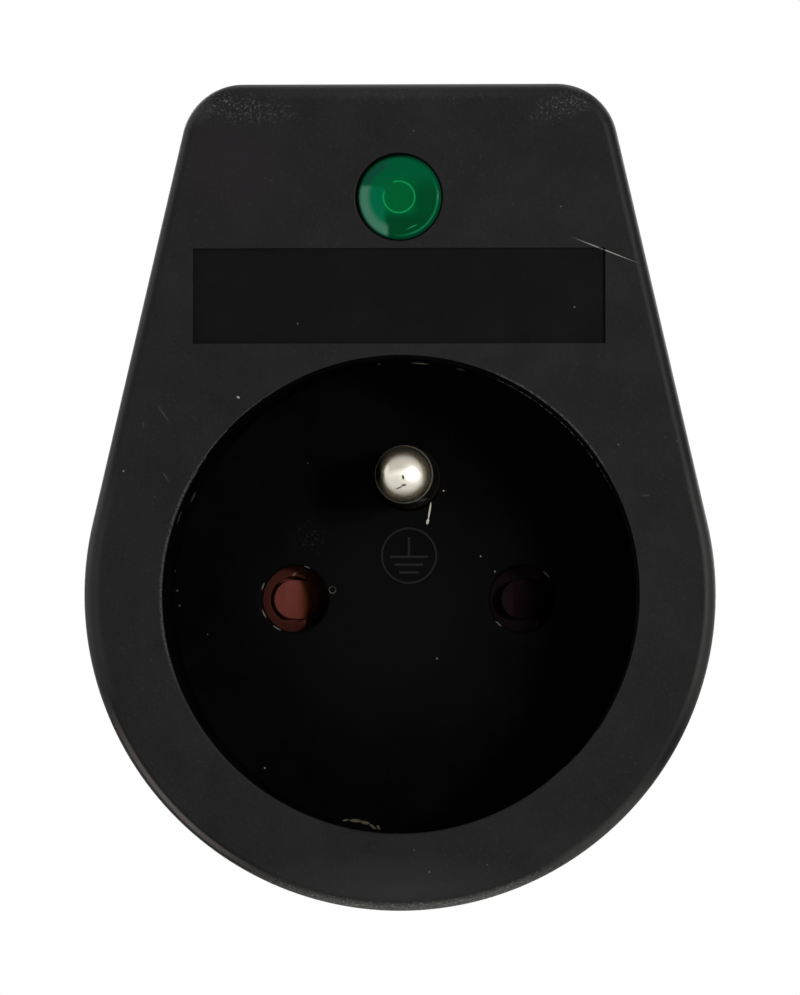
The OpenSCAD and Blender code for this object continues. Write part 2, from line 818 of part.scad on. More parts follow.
// The rear female earth contact: a slit tube on a base riveted under the strap
module earth_tube() {
    slit_w = 0.8;
    strap_high = strap_z + strap_t;
    color(brass) stood_up() translate([0, earth_y, 0]) difference() {
        union() {
            difference() {
                rod(0, 0, tube_front, tube_base_z + eps, tube_r);
                rod(0, 0, tube_front - 1, tube_base_z + eps, earth_r);
            }
            rod(0, 0, tube_base_z, strap_z, tube_base_r);
            rod(0, 0, strap_z - eps, strap_high + eps, tenon_r);
            rod(0, 0, strap_high, strap_high + rivet_head_t, tenon_r + rivet_rim);
        }
        for (turn = [0, 90])
            rotate([0, 0, turn]) translate([-slit_w / 2, -tube_r - 1, tube_front - 1])
                cube([slit_w, 2 * tube_r + 2, tube_base_z - tube_front - 1]);
    }
}

// A side earth clip, drawn for the upper groove: hook, bowed leg and tab
module earth_clip() {
    low = clip_hook_z + clip_t;
    half_chord = (tab_z - low) / 2;
    bow_r = (half_chord * half_chord + clip_bow * clip_bow) / (2 * clip_bow);
    middle_z = (tab_z + low) / 2;
    bow_y = clip_in + clip_t + clip_bow - bow_r;
    color(steel) stood_up() rotate([0, 90, 0]) at_z(-clip_w / 2) linear_extrude(clip_w)
        union() {
            intersection() {
                translate([-middle_z, bow_y]) difference() {
                    circle(bow_r, $fn = 256);
                    circle(bow_r - clip_t, $fn = 256);
                }
                translate([-middle_z - half_chord - eps, clip_in - 1])
                    square([2 * half_chord + 2 * eps, 5]);
            }
            translate([-tab_z - clip_t, clip_tab_in])
                square([clip_t, clip_in + clip_t - clip_tab_in]);
            translate([-clip_hook_z - clip_t, clip_in - hook_l])
                square([clip_t, hook_l + clip_t]);
        }
}

module earth_clip_top() {
    earth_clip();
}

module earth_clip_bottom() {
    rotate([0, 180, 0]) earth_clip();
}

// A plug pin: a round end, a seat in the nose's face, a flange behind it, and a riveted tenon
module plug_pin() {
    tip_round = 1.2;
    color(nickel) stood_up() union() {
        at_z(-plug_l) rotate_extrude() union() {
            translate([0, tip_round]) square([plug_r, plug_l - tip_round + eps]);
            square([plug_r - tip_round, tip_round + eps]);
            translate([plug_r - tip_round, tip_round]) intersection() {
                circle(tip_round);
                translate([0, -tip_round]) square(2 * tip_round);
            }
        }
        rod(0, 0, 0, nose_face_t + eps, pin_seat_r);
        rod(0, 0, nose_face_t, nose_face_t + pin_flange_t, pin_flange_r);
        rod(0, 0, nose_face_t + pin_flange_t - eps, contact_z, plug_r - plug_waist);
        rod(0, 0, contact_z - eps, contact_top + rivet_head_t, tenon_r);
        rod(0, 0, contact_top, contact_top + rivet_head_t, tenon_r + rivet_rim);
    }
}

module live_pin() {
    translate([pin_x, 0, 0]) plug_pin();
}

module neutral_pin() {
    translate([-pin_x, 0, 0]) plug_pin();
}

// A socket contact: a round base with two sprung leaves and a solder tag
module contact() {
    out_r = sleeve_r + sleeve_t;
    foot_arc = 50;
    foot_play = 0.2;
    color(brass) stood_up() difference() {
        union() {
            within_keyways(contact_z - 1, contact_top + 1)
                rod(0, 0, contact_z, contact_top, contact_r);
            for (turn = [90, 270]) {
                rotate([0, 0, turn - leaf_arc / 2]) rotate_extrude(angle = leaf_arc) polygon([
                    [sleeve_r, leaf_z],
                    [out_r, leaf_z],
                    [out_r, flare_z],
                    [out_r + sleeve_flare, leaf_top],
                    [sleeve_r + sleeve_flare, leaf_top],
                    [sleeve_r, flare_z]
                ]);
                rotate([0, 0, turn - foot_arc / 2]) rotate_extrude(angle = foot_arc)
                    translate([sleeve_r + foot_play, contact_top - eps])
                        square([sleeve_t - foot_play, leaf_z - contact_top + 2 * eps]);
            }
            translate([-tag_half, 0, contact_z]) cube([2 * tag_half, tag_y, contact_t]);
            translate([-tag_half, tag_y - contact_t, contact_z])
                cube([2 * tag_half, contact_t, tag_h]);
        }
        rod(0, 0, contact_z - 1, contact_top + eps, tenon_r);
    }
}

module live_contact() {
    translate([pin_x, 0, 0]) contact();
}

module neutral_contact() {
    translate([-pin_x, 0, 0]) contact();
}

// Holes for a component's two wires, one on each side of its middle
module wire_holes(x, y, dx, dy) {
    for (side = [-1, 1])
        rod(x + side * dx, y + side * dy, board_back - 1, board_front + 1, wire_hole_r);
}

module circuit_board() {
    color(board_green) stood_up() difference() {
        union() {
            translate([-board_half, board_low, board_back])
                cube([2 * board_half, board_step - board_low, board_t]);
            translate([-board_neck_half, board_low, board_back])
                cube([2 * board_neck_half, board_top - board_low, board_t]);
        }
        both_sides(peg_x) rod(0, peg_y, board_back - 1, board_front + 1,
            peg_stub_r + hole_play);
        for (i = [-1 : 1])
            wire_holes(i * varistor_pitch, varistor_y, 0, varistor_wire_y);
        wire_holes(0, lens_y, led_wire_x, 0);
    }
}

// A coated disc stood on edge, with its two wires through the board
module varistor(x) {
    color(varistor_blue) stood_up() translate([x, varistor_y, 0]) union() {
        translate([-varistor_t / 2, 0, varistor_z]) rotate([0, 90, 0]) rotate_extrude() union() {
            square([varistor_d / 2 - varistor_edge, varistor_t]);
            translate([0, varistor_edge])
                square([varistor_d / 2, varistor_t - 2 * varistor_edge]);
            for (y = [varistor_edge, varistor_t - varistor_edge])
                translate([varistor_d / 2 - varistor_edge, y]) circle(varistor_edge);
        }
        for (side = [-1, 1])
            rod(0, side * varistor_wire_y, varistor_z + varistor_d / 4,
                board_front, wire_out_r);
    }
}

module varistor_live_neutral() {
    varistor(0);
}

module varistor_live_earth() {
    varistor(varistor_pitch);
}

module varistor_neutral_earth() {
    varistor(-varistor_pitch);
}

// A short ceramic tube with a metal cap at each end, lying against the board
module gas_tube() {
    cap_l = 1.1;
    cap_proud = 0.1;
    middle_z = board_back - gas_r;
    color(nickel) stood_up() translate([gas_x, gas_y, middle_z]) rotate([90, 0, 0]) union() {
        at_z(-gas_l / 2) cylinder(r = gas_r - cap_proud, h = gas_l);
        for (z = [-gas_l / 2, gas_l / 2 - cap_l])
            at_z(z) cylinder(r = gas_r, h = cap_l);
    }
}

// An upright thermal fuse: a small barrel whose far wire is bent back to the board
module thermal_fuse() {
    top = board_back - wire_stub;
    low = top - fuse_l;
    return_x = 2 * fuse_bend_r;
    color(carrier_grey) stood_up() translate([-fuse_x, fuse_y, 0]) union() {
        rod(0, 0, low, top, fuse_r);
        rod(0, 0, top - eps, board_back, wire_out_r);
        rod(0, 0, low - wire_stub, low + eps, wire_out_r);
        translate([-fuse_bend_r, 0, low - wire_stub]) rotate([-90, 0, 0])
            rotate_extrude(angle = 180) translate([fuse_bend_r, 0]) circle(wire_out_r);
        rod(-return_x, 0, low - wire_stub, board_back, wire_out_r);
    }
}

module status_led() {
    color(lens_green) stood_up() translate([0, lens_y, 0]) union() {
        rod(0, 0, board_front, board_front + led_flange_t, led_flange_r);
        rod(0, 0, board_front, led_top - led_r, led_r);
        at_z(led_top - led_r) sphere(led_r);
        both_sides(led_wire_x)
            rod(0, 0, board_back - solder_t, board_front + eps, wire_out_r);
    }
}

// A component with a round body that lies across the front of the board
module axial_part(y, r, length) {
    wire_l = 1.2;
    translate([-length / 2, y, board_front + r]) rotate([0, 90, 0]) union() {
        cylinder(r = r, h = length);
        at_z(-wire_l) cylinder(r = wire_out_r, h = length + 2 * wire_l);
    }
}

module resistor() {
    color("tan") stood_up() axial_part(resistor_y, resistor_r, resistor_l);
}

module diode() {
    color([0.1, 0.1, 0.1]) stood_up() axial_part(diode_y, diode_r, diode_l);
}

// A smooth path through hand-set points
function spline_point(p, i, t) =
    let (
        n = len(p) - 1,
        a = p[max(i - 1, 0)],
        b = p[i],
        c = p[min(i + 1, n)],
        d = p[min(i + 2, n)]
    )
    0.5 * (2 * b + (c - a) * t + (2 * a - 5 * b + 4 * c - d) * t * t
        + (3 * b - a - 3 * c + d) * t * t * t);

function smooth_path(p, steps) = concat(
    [for (i = [0 : len(p) - 2]) for (k = [0 : steps - 1]) spline_point(p, i, k / steps)],
    [p[len(p) - 1]]
);

module live_lead() {
    color("saddlebrown") stood_up() swept(smooth_path(live_route, lead_steps), lead_r);
}

module neutral_lead() {
    route = [for (p = live_route) [-p[0], p[1], p[2]]];
    color("royalblue") stood_up() swept(smooth_path(route, lead_steps), lead_r);
}

module earth_lead() {
    color("yellowgreen") stood_up() swept(smooth_path(earth_route, lead_steps), lead_r);
}

// A pan head screw with a cross recess, its head at the low end
module housing_screw(seat) {
    slot_w = 0.9;
    slot_l = 2.6;
    slot_d = 1;
    difference() {
        union() {
            rod(0, 0, seat - head_h, seat, head_r);
            rod(0, 0, seat - eps, seat + screw_l, screw_r);
        }
        for (turn = [0, 90])
            rotate([0, 0, turn]) translate([-slot_l / 2, -slot_w / 2, seat - head_h - 1])
                cube([slot_l, slot_w, slot_d + 1]);
    }
}

module housing_screws() {
    color(steel) stood_up() union() {
        both_sides(screw_x) translate([0, screw_y, 0]) housing_screw(top_seat);
        translate([0, -nose_screw_y, 0]) housing_screw(nose_seat);
    }
}

front_housing();
rear_housing();
indicator_lens();
contact_carrier();
shutter();
shutter_spring();
earth_pin();
earth_strap();
earth_tube();
earth_clip_top();
earth_clip_bottom();
live_pin();
neutral_pin();
live_contact();
neutral_contact();
circuit_board();
varistor_live_neutral();
varistor_live_earth();
varistor_neutral_earth();
gas_tube();
thermal_fuse();
status_led();
resistor();
diode();
live_lead();
neutral_lead();
earth_lead();
housing_screws();
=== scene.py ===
import math

import bmesh
import bpy
from mathutils import Matrix, Vector


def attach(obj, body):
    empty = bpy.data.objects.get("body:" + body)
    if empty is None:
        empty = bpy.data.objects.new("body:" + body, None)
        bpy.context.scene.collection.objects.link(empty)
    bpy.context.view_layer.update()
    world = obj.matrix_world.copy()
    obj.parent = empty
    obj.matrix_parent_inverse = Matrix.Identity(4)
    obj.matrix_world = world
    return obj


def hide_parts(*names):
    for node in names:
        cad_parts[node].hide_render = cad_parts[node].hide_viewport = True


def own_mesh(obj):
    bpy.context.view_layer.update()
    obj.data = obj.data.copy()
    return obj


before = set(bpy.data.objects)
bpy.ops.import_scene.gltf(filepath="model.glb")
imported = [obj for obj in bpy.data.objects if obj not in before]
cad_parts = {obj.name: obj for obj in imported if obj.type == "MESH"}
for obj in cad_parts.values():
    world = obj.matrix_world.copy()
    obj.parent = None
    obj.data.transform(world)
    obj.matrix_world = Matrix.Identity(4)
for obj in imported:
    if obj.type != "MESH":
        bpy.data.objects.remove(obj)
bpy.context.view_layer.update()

scene = bpy.context.scene
scene.view_settings.view_transform = "Standard"

# Camera. The adapter was photographed almost straight on with a long lens, from about a
# metre away, a little to the right of its middle and a little below it.
CAMERA_PLACE = Vector((0.05300, -1.08150, -0.01600))
CAMERA_TARGET = Vector((0.00008, -0.0535, 0.0081))
camera_data = bpy.data.cameras.new("photo_camera")
camera_data.lens = 453.2
camera = bpy.data.objects.new("photo_camera", camera_data)
camera.location = CAMERA_PLACE
camera.rotation_euler = (CAMERA_TARGET - CAMERA_PLACE).to_track_quat("-Z", "Y").to_euler()
scene.collection.objects.link(camera)
scene.camera = camera


# The studio. A white surround that is also seen in gloss, and a plain pale floor under the
# adapter, which hangs in the air as if held by its two pins.
FLOOR_LEVEL = -0.06
FLOOR_HALF = 0.55
ROOM_DIFFUSE_LEVEL = 0.07


def hex_colour(code):
    """The linear colour of an sRGB hex value."""
    channels = [int(code[i:i + 2], 16) / 255 for i in (1, 3, 5)]
    return [c / 12.92 if c <= 0.04045 else ((c + 0.055) / 1.055) ** 2.4 for c in channels] + [1]


def set_inputs(tree, node, inputs):
    """Links each input of a node to a socket, or sets its value."""
    for socket, value in inputs.items():
        if isinstance(value, bpy.types.NodeSocket):
            tree.links.new(value, node.inputs[socket])
        else:
            node.inputs[socket].default_value = value


def add_node(tree, kind, inputs=None, **settings):
    """Adds a node, gives it its settings, and sets or links its inputs."""
    added = tree.nodes.new("ShaderNode" + kind)
    for name, value in settings.items():
        setattr(added, name, value)
    set_inputs(tree, added, inputs or {})
    return added


world = bpy.data.worlds.new("white_studio")
world.use_nodes = True
air = world.node_tree
air.nodes.clear()
ray = add_node(air, "LightPath")
seen = add_node(air, "Math", {0: ray.outputs["Is Camera Ray"], 1: ray.outputs["Is Glossy Ray"]},
                operation="MAXIMUM")
seen = add_node(air, "Math", {0: seen.outputs[0], 1: ray.outputs["Is Transmission Ray"]},
                operation="MAXIMUM")
level = add_node(air, "MapRange", {"Value": seen.outputs[0], "To Min": ROOM_DIFFUSE_LEVEL,
                                   "To Max": 1.0})
surround = add_node(air, "Background", {"Color": hex_colour("#ffffff"),
                                        "Strength": level.outputs[0]})
add_node(air, "OutputWorld", {"Surface": surround.outputs[0]})
scene.world = world


def start_material(name):
    """A new material, its node tree, its empty Principled shader, and the place of each point
    on the object, in metres."""
    material = bpy.data.materials.new(name)
    material.use_nodes = True
    tree = material.node_tree
    tree.nodes.clear()
    shader = add_node(tree, "BsdfPrincipled")
    add_node(tree, "OutputMaterial", {"Surface": shader.outputs[0]})
    return material, tree, shader, add_node(tree, "TexCoord").outputs["Object"]


def lay_tone(tree, colour, tone, *masks):
    """Lays one tone over a colour, where all its masks meet."""
    amount = masks[0]
    for mask in masks[1:]:
        amount = add_node(tree, "Math", {0: amount, 1: mask}, operation="MULTIPLY").outputs[0]
    return add_node(tree, "Mix", {"Factor": amount, "A": colour, "B": hex_colour(tone)},
                    data_type="RGBA").outputs["Result"]


floor_paper, tree, shader, place = start_material("pale_studio_paper")
pulp = add_node(tree, "TexNoise", {"Vector": place, "Scale": 40.0, "Detail": 4.0})
paper_tone = lay_tone(tree, hex_colour("#f1f1ef"), "#f7f7f6", pulp.outputs["Fac"])
set_inputs(tree, shader, {"Base Color": paper_tone, "Roughness": 0.9, "Specular IOR Level": 0.1})
floor_shape = bmesh.new()
bmesh.ops.create_grid(floor_shape, x_segments=1, y_segments=1, size=FLOOR_HALF,
                      matrix=Matrix.Translation((0, 0, FLOOR_LEVEL)))
floor_mesh = bpy.data.meshes.new("studio_floor")
floor_shape.to_mesh(floor_mesh)
floor_shape.free()
floor_mesh.materials.append(floor_paper)
studio_floor = bpy.data.objects.new("studio_floor", floor_mesh)
scene.collection.objects.link(studio_floor)

for lamp_name, place, side, power in (
    ("right_softbox", (0.52, -0.93, 0.10), 0.16, 7.4),
    ("left_softbox", (-0.9, -0.16, 0.25), 0.50, 4.5),
    ("top_softbox", (0.1, 0.4, 0.9), 0.50, 3.0),
    ("rear_left_softbox", (-0.55, 0.75, 0.45), 0.50, 5.0),
    ("rear_right_softbox", (0.65, 0.7, 0.3), 0.50, 4.0),
):
    lamp_data = bpy.data.lights.new(lamp_name, "AREA")
    lamp_data.shape = "SQUARE"
    lamp_data.size = side
    lamp_data.energy = power
    lamp = bpy.data.objects.new(lamp_name, lamp_data)
    lamp.location = place
    lamp.rotation_euler = (CAMERA_TARGET - Vector(place)).to_track_quat("-Z", "Y").to_euler()
    scene.collection.objects.link(lamp)


# Rear shell. The wall-side half of the housing with the round plug nose, moulded in black
# polycarbonate. The nose has a groove above and below for the earth clips, a keyway on each
# side, and inside it carries the pins, the earth tube and the screw towers.
BODY_RADIUS = 26.04
BODY_MIDDLE_Y = 0.13
CORNER_RADIUS = 5.1
CORNER_X = 12.92
CORNER_Y = 37.1
SIDE_LEAN = math.degrees(
    math.atan2(CORNER_Y - BODY_MIDDLE_Y, CORNER_X)
    - math.acos((BODY_RADIUS - CORNER_RADIUS) / math.hypot(CORNER_X, CORNER_Y - BODY_MIDDLE_Y)))
FRONT_Z = 53.5
REAR_Z = 17.5
PARTING_Z = 24.0
WALL = 1.8
DRAFT = math.tan(math.radians(2))
REAR_PLATE_IN = REAR_Z + WALL
TONGUE_HIGH = 1.5
TONGUE_WIDE = 0.85
NOSE_RADIUS = 18.5
NOSE_FACE = 2.4
NOSE_ROUNDING = 1.0
BEYOND_NOSE = 21.0
GROOVE_HALF = 4.5
GROOVE_FLOOR = 15.9
KEY_HALF = 2.65
KEY_FLOOR = 16.0
PIN_X = 9.5
PIN_SEAT = 2.6
PIN_ROOM = 3.5
CONTACT_Z = 17.2
EARTH_Y = 10.0
EARTH_HOLE = 2.65
EARTH_SEAT = 3.3
EARTH_SLEEVE_TOP = 16.95
SLEEVE_RADIUS = 4.4
TOP_SCREW = (12.503, 35.0)
TOP_HEAD_SEAT = 20.5
TOP_TOWER_TOP = 22.5
NOSE_SCREW_Y = -10.0
NOSE_HEAD_SEAT = 15.6
NOSE_TOWER_TOP = 17.8
TOWER_RADIUS = 4.3
HEAD_HOLE = 2.9
SHANK_HOLE = 1.6
FRONT_BOSS_ROOM = 3.3
CLIP_HALF = 3.65
TAB_Y = 16.0
TAB_LEVELS = (16.925, 18.675)
HOOK_Y = 15.95
HOOK_LEVELS = (1.05, 2.3)
STRAP_NOTCH = ((-3.15, 15.05, 17.8), (3.15, 16.15, 20.3))
SHARP_FROM = math.radians(35)
STAND_UP = Matrix(((0.001, 0, 0, 0), (0, 0, -0.001, 0), (0, 0.001, 0, 0), (0, 0, 0, 1)))


def draft_in(z):
    """How far the draft has drawn the side wall in at a level."""
    return (FRONT_Z - z) * DRAFT


def outline_loop(shape, z, inset):
    """One loop of the housing's outline: the round lower end and the two top corners."""
    arcs = (
        ((0, BODY_MIDDLE_Y), BODY_RADIUS - inset, 180 - SIDE_LEAN, 180 + 2 * SIDE_LEAN, 120),
        ((CORNER_X, CORNER_Y), CORNER_RADIUS - inset, SIDE_LEAN, 90 - SIDE_LEAN, 20),
        ((-CORNER_X, CORNER_Y), CORNER_RADIUS - inset, 90, 90 - SIDE_LEAN, 20),
    )
    before = set(shape.edges)
    ends = []
    for (x, y), radius, start, sweep, steps in arcs:
        angle = math.radians(start)
        first = shape.verts.new((x + radius * math.cos(angle), y + radius * math.sin(angle), z))
        spun = bmesh.ops.spin(shape, geom=[first], cent=(x, y, z), axis=(0, 0, 1),
                              angle=math.radians(sweep), steps=steps)
        last = [v for v in spun["geom_last"] if isinstance(v, bmesh.types.BMVert)][0]
        ends.append((first, last))
    for i, (first, last) in enumerate(ends):
        shape.edges.new((last, ends[(i + 1) % 3][0]))
    return [e for e in shape.edges if e not in before]


def finished_object(name, shape):
    """The object of a shape drawn in millimetres, with its doubles merged and faces outwards."""
    bmesh.ops.remove_doubles(shape, verts=shape.verts, dist=1e-4)
    bmesh.ops.recalc_face_normals(shape, faces=shape.faces)
    mesh = bpy.data.meshes.new(name)
    shape.to_mesh(mesh)
    shape.free()
    made = bpy.data.objects.new(name, mesh)
    scene.collection.objects.link(made)
    return made


def outline_solid(name, low, high, low_inset, high_inset, low_round=0.0, high_round=0.0):
    """A solid of the outline between two levels, with its end edges rounded if asked."""
    shape = bmesh.new()
    low_loop = outline_loop(shape, low, low_inset)
    high_loop = outline_loop(shape, high, high_inset)
    bmesh.ops.bridge_loops(shape, edges=low_loop + high_loop)
    for loop, rounding in ((low_loop, low_round), (high_loop, high_round)):
        bmesh.ops.contextual_create(shape, geom=loop)
        if rounding:
            bmesh.ops.bevel(shape, geom=loop, offset=rounding, offset_type="OFFSET", segments=6,
                            profile=0.5, affect="EDGES", material=-1)
    return finished_object(name, shape)


def arc_points(radius, z, bend, start, end, steps):
    """Points (radius, level) on an arc, from its centre, its own radius and two angles."""
    turns = [math.radians(start + (end - start) * i / steps) for i in range(steps + 1)]
    return [(radius + bend * math.cos(turn), z + bend * math.sin(turn)) for turn in turns]


def turned_solid(name, profile, x=0.0, y=0.0, steps=96):
    """A solid turned round an upright axis at x, y from (radius, level) points."""
    shape = bmesh.new()
    points = [shape.verts.new((x + radius, y, z)) for radius, z in profile]
    edges = [shape.edges.new(pair) for pair in zip(points, points[1:])]
    bmesh.ops.spin(shape, geom=points + edges, cent=(x, y, 0), axis=(0, 0, 1),
                   angle=2 * math.pi, steps=steps, use_merge=True)
    return finished_object(name, shape)


def rod(x, y, low, high, radius, edge=0.0):
    """A round rod between two levels, with both end edges chamfered if asked."""
    profile = [(0, low), (radius - edge, low)]
    if edge:
        profile += [(radius, low + edge), (radius, high - edge)]
    profile += [(radius - edge, high), (0, high)]
    return turned_solid("rod", profile, x, y)


def block(corner, other_corner):
    """A square-cornered block between two opposite corners."""
    shape = bmesh.new()
    bmesh.ops.create_cube(shape, size=1)
    first, last = Vector(corner), Vector(other_corner)
    bmesh.ops.scale(shape, vec=last - first, verts=shape.verts)
    bmesh.ops.translate(shape, vec=(last + first) / 2, verts=shape.verts)
    return finished_object("block", shape)


def work_on(solid, operation, tools):
    """Joins each tool to the solid, or cuts it away, and throws the tool out."""
    for tool in tools:
        step = solid.modifiers.new("step", "BOOLEAN")
        step.operation = operation
        step.solver = "MANIFOLD"
        step.object = tool
        bpy.context.view_layer.objects.active = solid
        bpy.ops.object.modifier_apply(modifier=step.name)
        bpy.data.meshes.remove(tool.data)


def stand_up(solid):
    """Stands a finished solid up in metres, with smooth curves, crisp edges and even normals."""
    solid.data.transform(STAND_UP)
    solid.data.materials.clear()
    solid.data.shade_smooth()
    solid.data.set_sharp_from_angle(angle=SHARP_FROM)
    evened = solid.modifiers.new("even_normals", "WEIGHTED_NORMAL")
    evened.keep_sharp = True
    return solid


rear_shell = outline_solid("rear_shell", REAR_Z, PARTING_Z, draft_in(REAR_Z), draft_in(PARTING_Z),
                           low_round=0.8, high_round=0.12)
rim_in = draft_in(PARTING_Z) + WALL
work_on(rear_shell, "DIFFERENCE", [
    outline_solid("rim_hollow", REAR_PLATE_IN, PARTING_Z + 1, rim_in, rim_in),
    rod(0, 0, REAR_Z - 1, REAR_PLATE_IN + 1, NOSE_RADIUS - WALL),
])
tongue_in = rim_in - TONGUE_WIDE
tongue = outline_solid("tongue", PARTING_Z - 0.3, PARTING_Z + TONGUE_HIGH, tongue_in, tongue_in)
work_on(tongue, "DIFFERENCE", [
    outline_solid("tongue_hollow", PARTING_Z - 1, PARTING_Z + TONGUE_HIGH + 1, rim_in, rim_in)])
nose_profile = [(0, 0)]
nose_profile += arc_points(NOSE_RADIUS - NOSE_ROUNDING, NOSE_ROUNDING, NOSE_ROUNDING, -90, 0, 8)
nose_profile += [(NOSE_RADIUS, REAR_PLATE_IN), (0, REAR_PLATE_IN)]
nose = turned_solid("nose", nose_profile, steps=144)
nose_hollow = rod(0, 0, NOSE_FACE, REAR_PLATE_IN + 1, NOSE_RADIUS - WALL)
for side in (-1, 1):
    work_on(nose, "DIFFERENCE", [
        block((-GROOVE_HALF, side * GROOVE_FLOOR, -1), (GROOVE_HALF, side * BEYOND_NOSE, REAR_Z)),
        block((side * KEY_FLOOR, -KEY_HALF, -1), (side * BEYOND_NOSE, KEY_HALF, REAR_Z)),
    ])
    work_on(nose_hollow, "DIFFERENCE", [
        block((-GROOVE_HALF - WALL, side * (GROOVE_FLOOR - WALL), 0),
              (GROOVE_HALF + WALL, side * BEYOND_NOSE, REAR_PLATE_IN)),
        block((side * (KEY_FLOOR - WALL), -KEY_HALF - WALL, 0),
              (side * BEYOND_NOSE, KEY_HALF + WALL, REAR_PLATE_IN)),
    ])
work_on(nose, "DIFFERENCE", [nose_hollow])
rear_adds = [tongue, nose, rod(0, EARTH_Y, NOSE_FACE - 0.3, EARTH_SLEEVE_TOP, SLEEVE_RADIUS),
             rod(0, NOSE_SCREW_Y, NOSE_FACE - 0.4, NOSE_TOWER_TOP, TOWER_RADIUS)]
rear_cuts = [
    rod(0, EARTH_Y, -1, NOSE_FACE + 1, EARTH_HOLE),
    rod(0, EARTH_Y, NOSE_FACE, REAR_Z, EARTH_SEAT),
    rod(0, NOSE_SCREW_Y, -1, NOSE_HEAD_SEAT, HEAD_HOLE),
    rod(0, NOSE_SCREW_Y, NOSE_HEAD_SEAT - 1, NOSE_TOWER_TOP + 1, SHANK_HOLE),
    block(*STRAP_NOTCH),
]
for side in (-1, 1):
    x, y = side * TOP_SCREW[0], TOP_SCREW[1]
    rear_adds += [
        rod(side * PIN_X, 0, NOSE_FACE - 0.2, CONTACT_Z, SLEEVE_RADIUS),
        rod(x, y, REAR_PLATE_IN - 0.2, TOP_TOWER_TOP, TOWER_RADIUS),
    ]
    rear_cuts += [
        rod(side * PIN_X, 0, -1, NOSE_FACE + 1, PIN_SEAT),
        rod(side * PIN_X, 0, NOSE_FACE, CONTACT_Z + 1, PIN_ROOM),
        rod(x, y, REAR_Z - 1, TOP_HEAD_SEAT, HEAD_HOLE),
        rod(x, y, TOP_HEAD_SEAT - 1, TOP_TOWER_TOP + 1, SHANK_HOLE),
        rod(x, y, TOP_TOWER_TOP, TOP_TOWER_TOP + 4, FRONT_BOSS_ROOM),
        block((-CLIP_HALF, side * TAB_Y - 2.1, TAB_LEVELS[0]),
              (CLIP_HALF, side * TAB_Y + 2.2, TAB_LEVELS[1])),
        block((-CLIP_HALF, side * HOOK_Y - 1.1, HOOK_LEVELS[0]),
              (CLIP_HALF, side * HOOK_Y + 1.1, HOOK_LEVELS[1])),
    ]
work_on(rear_shell, "UNION", rear_adds)
work_on(rear_shell, "DIFFERENCE", rear_cuts)
stand_up(rear_shell)


def spot(tree, place, centre, size, soft=0.5, turn=0.0):
    """A mask that is 1 inside an ellipsoid and falls off over its soft outer share. The centre,
    in millimetres, is (right, out of the front, up), and the turn is in the face's plane."""
    local = add_node(tree, "Mapping", {
        "Vector": place,
        "Location": Vector((centre[0], -centre[1], centre[2])) / 1000,
        "Rotation": (0, math.radians(-turn), 0),
        "Scale": Vector(size) / 1000}, vector_type="TEXTURE")
    away = add_node(tree, "VectorMath", {0: local.outputs[0]}, operation="LENGTH")
    inside = add_node(tree, "MapRange", {"Value": away.outputs["Value"], "From Min": 1.0,
                                         "From Max": 1.0 - soft})
    return inside.outputs[0]


def band(tree, place, middle, inner, outer):
    """A mask that is 1 on a ring round a point of the face, given as (right, up)."""
    local = add_node(tree, "Mapping", {"Vector": place, "Scale": (0.001, 1000.0, 0.001),
                                       "Location": (middle[0] / 1000, 0, middle[1] / 1000)},
                     vector_type="TEXTURE")
    away = add_node(tree, "VectorMath", {0: local.outputs[0]}, operation="LENGTH")
    off = add_node(tree, "Math", {0: away.outputs["Value"], 1: (inner + outer) / 2},
                   operation="SUBTRACT")
    off = add_node(tree, "Math", {0: off.outputs[0]}, operation="ABSOLUTE")
    return add_node(tree, "MapRange", {"Value": off.outputs[0], "From Min": (outer - inner) / 2,
                                       "From Max": (outer - inner) / 4}).outputs[0]


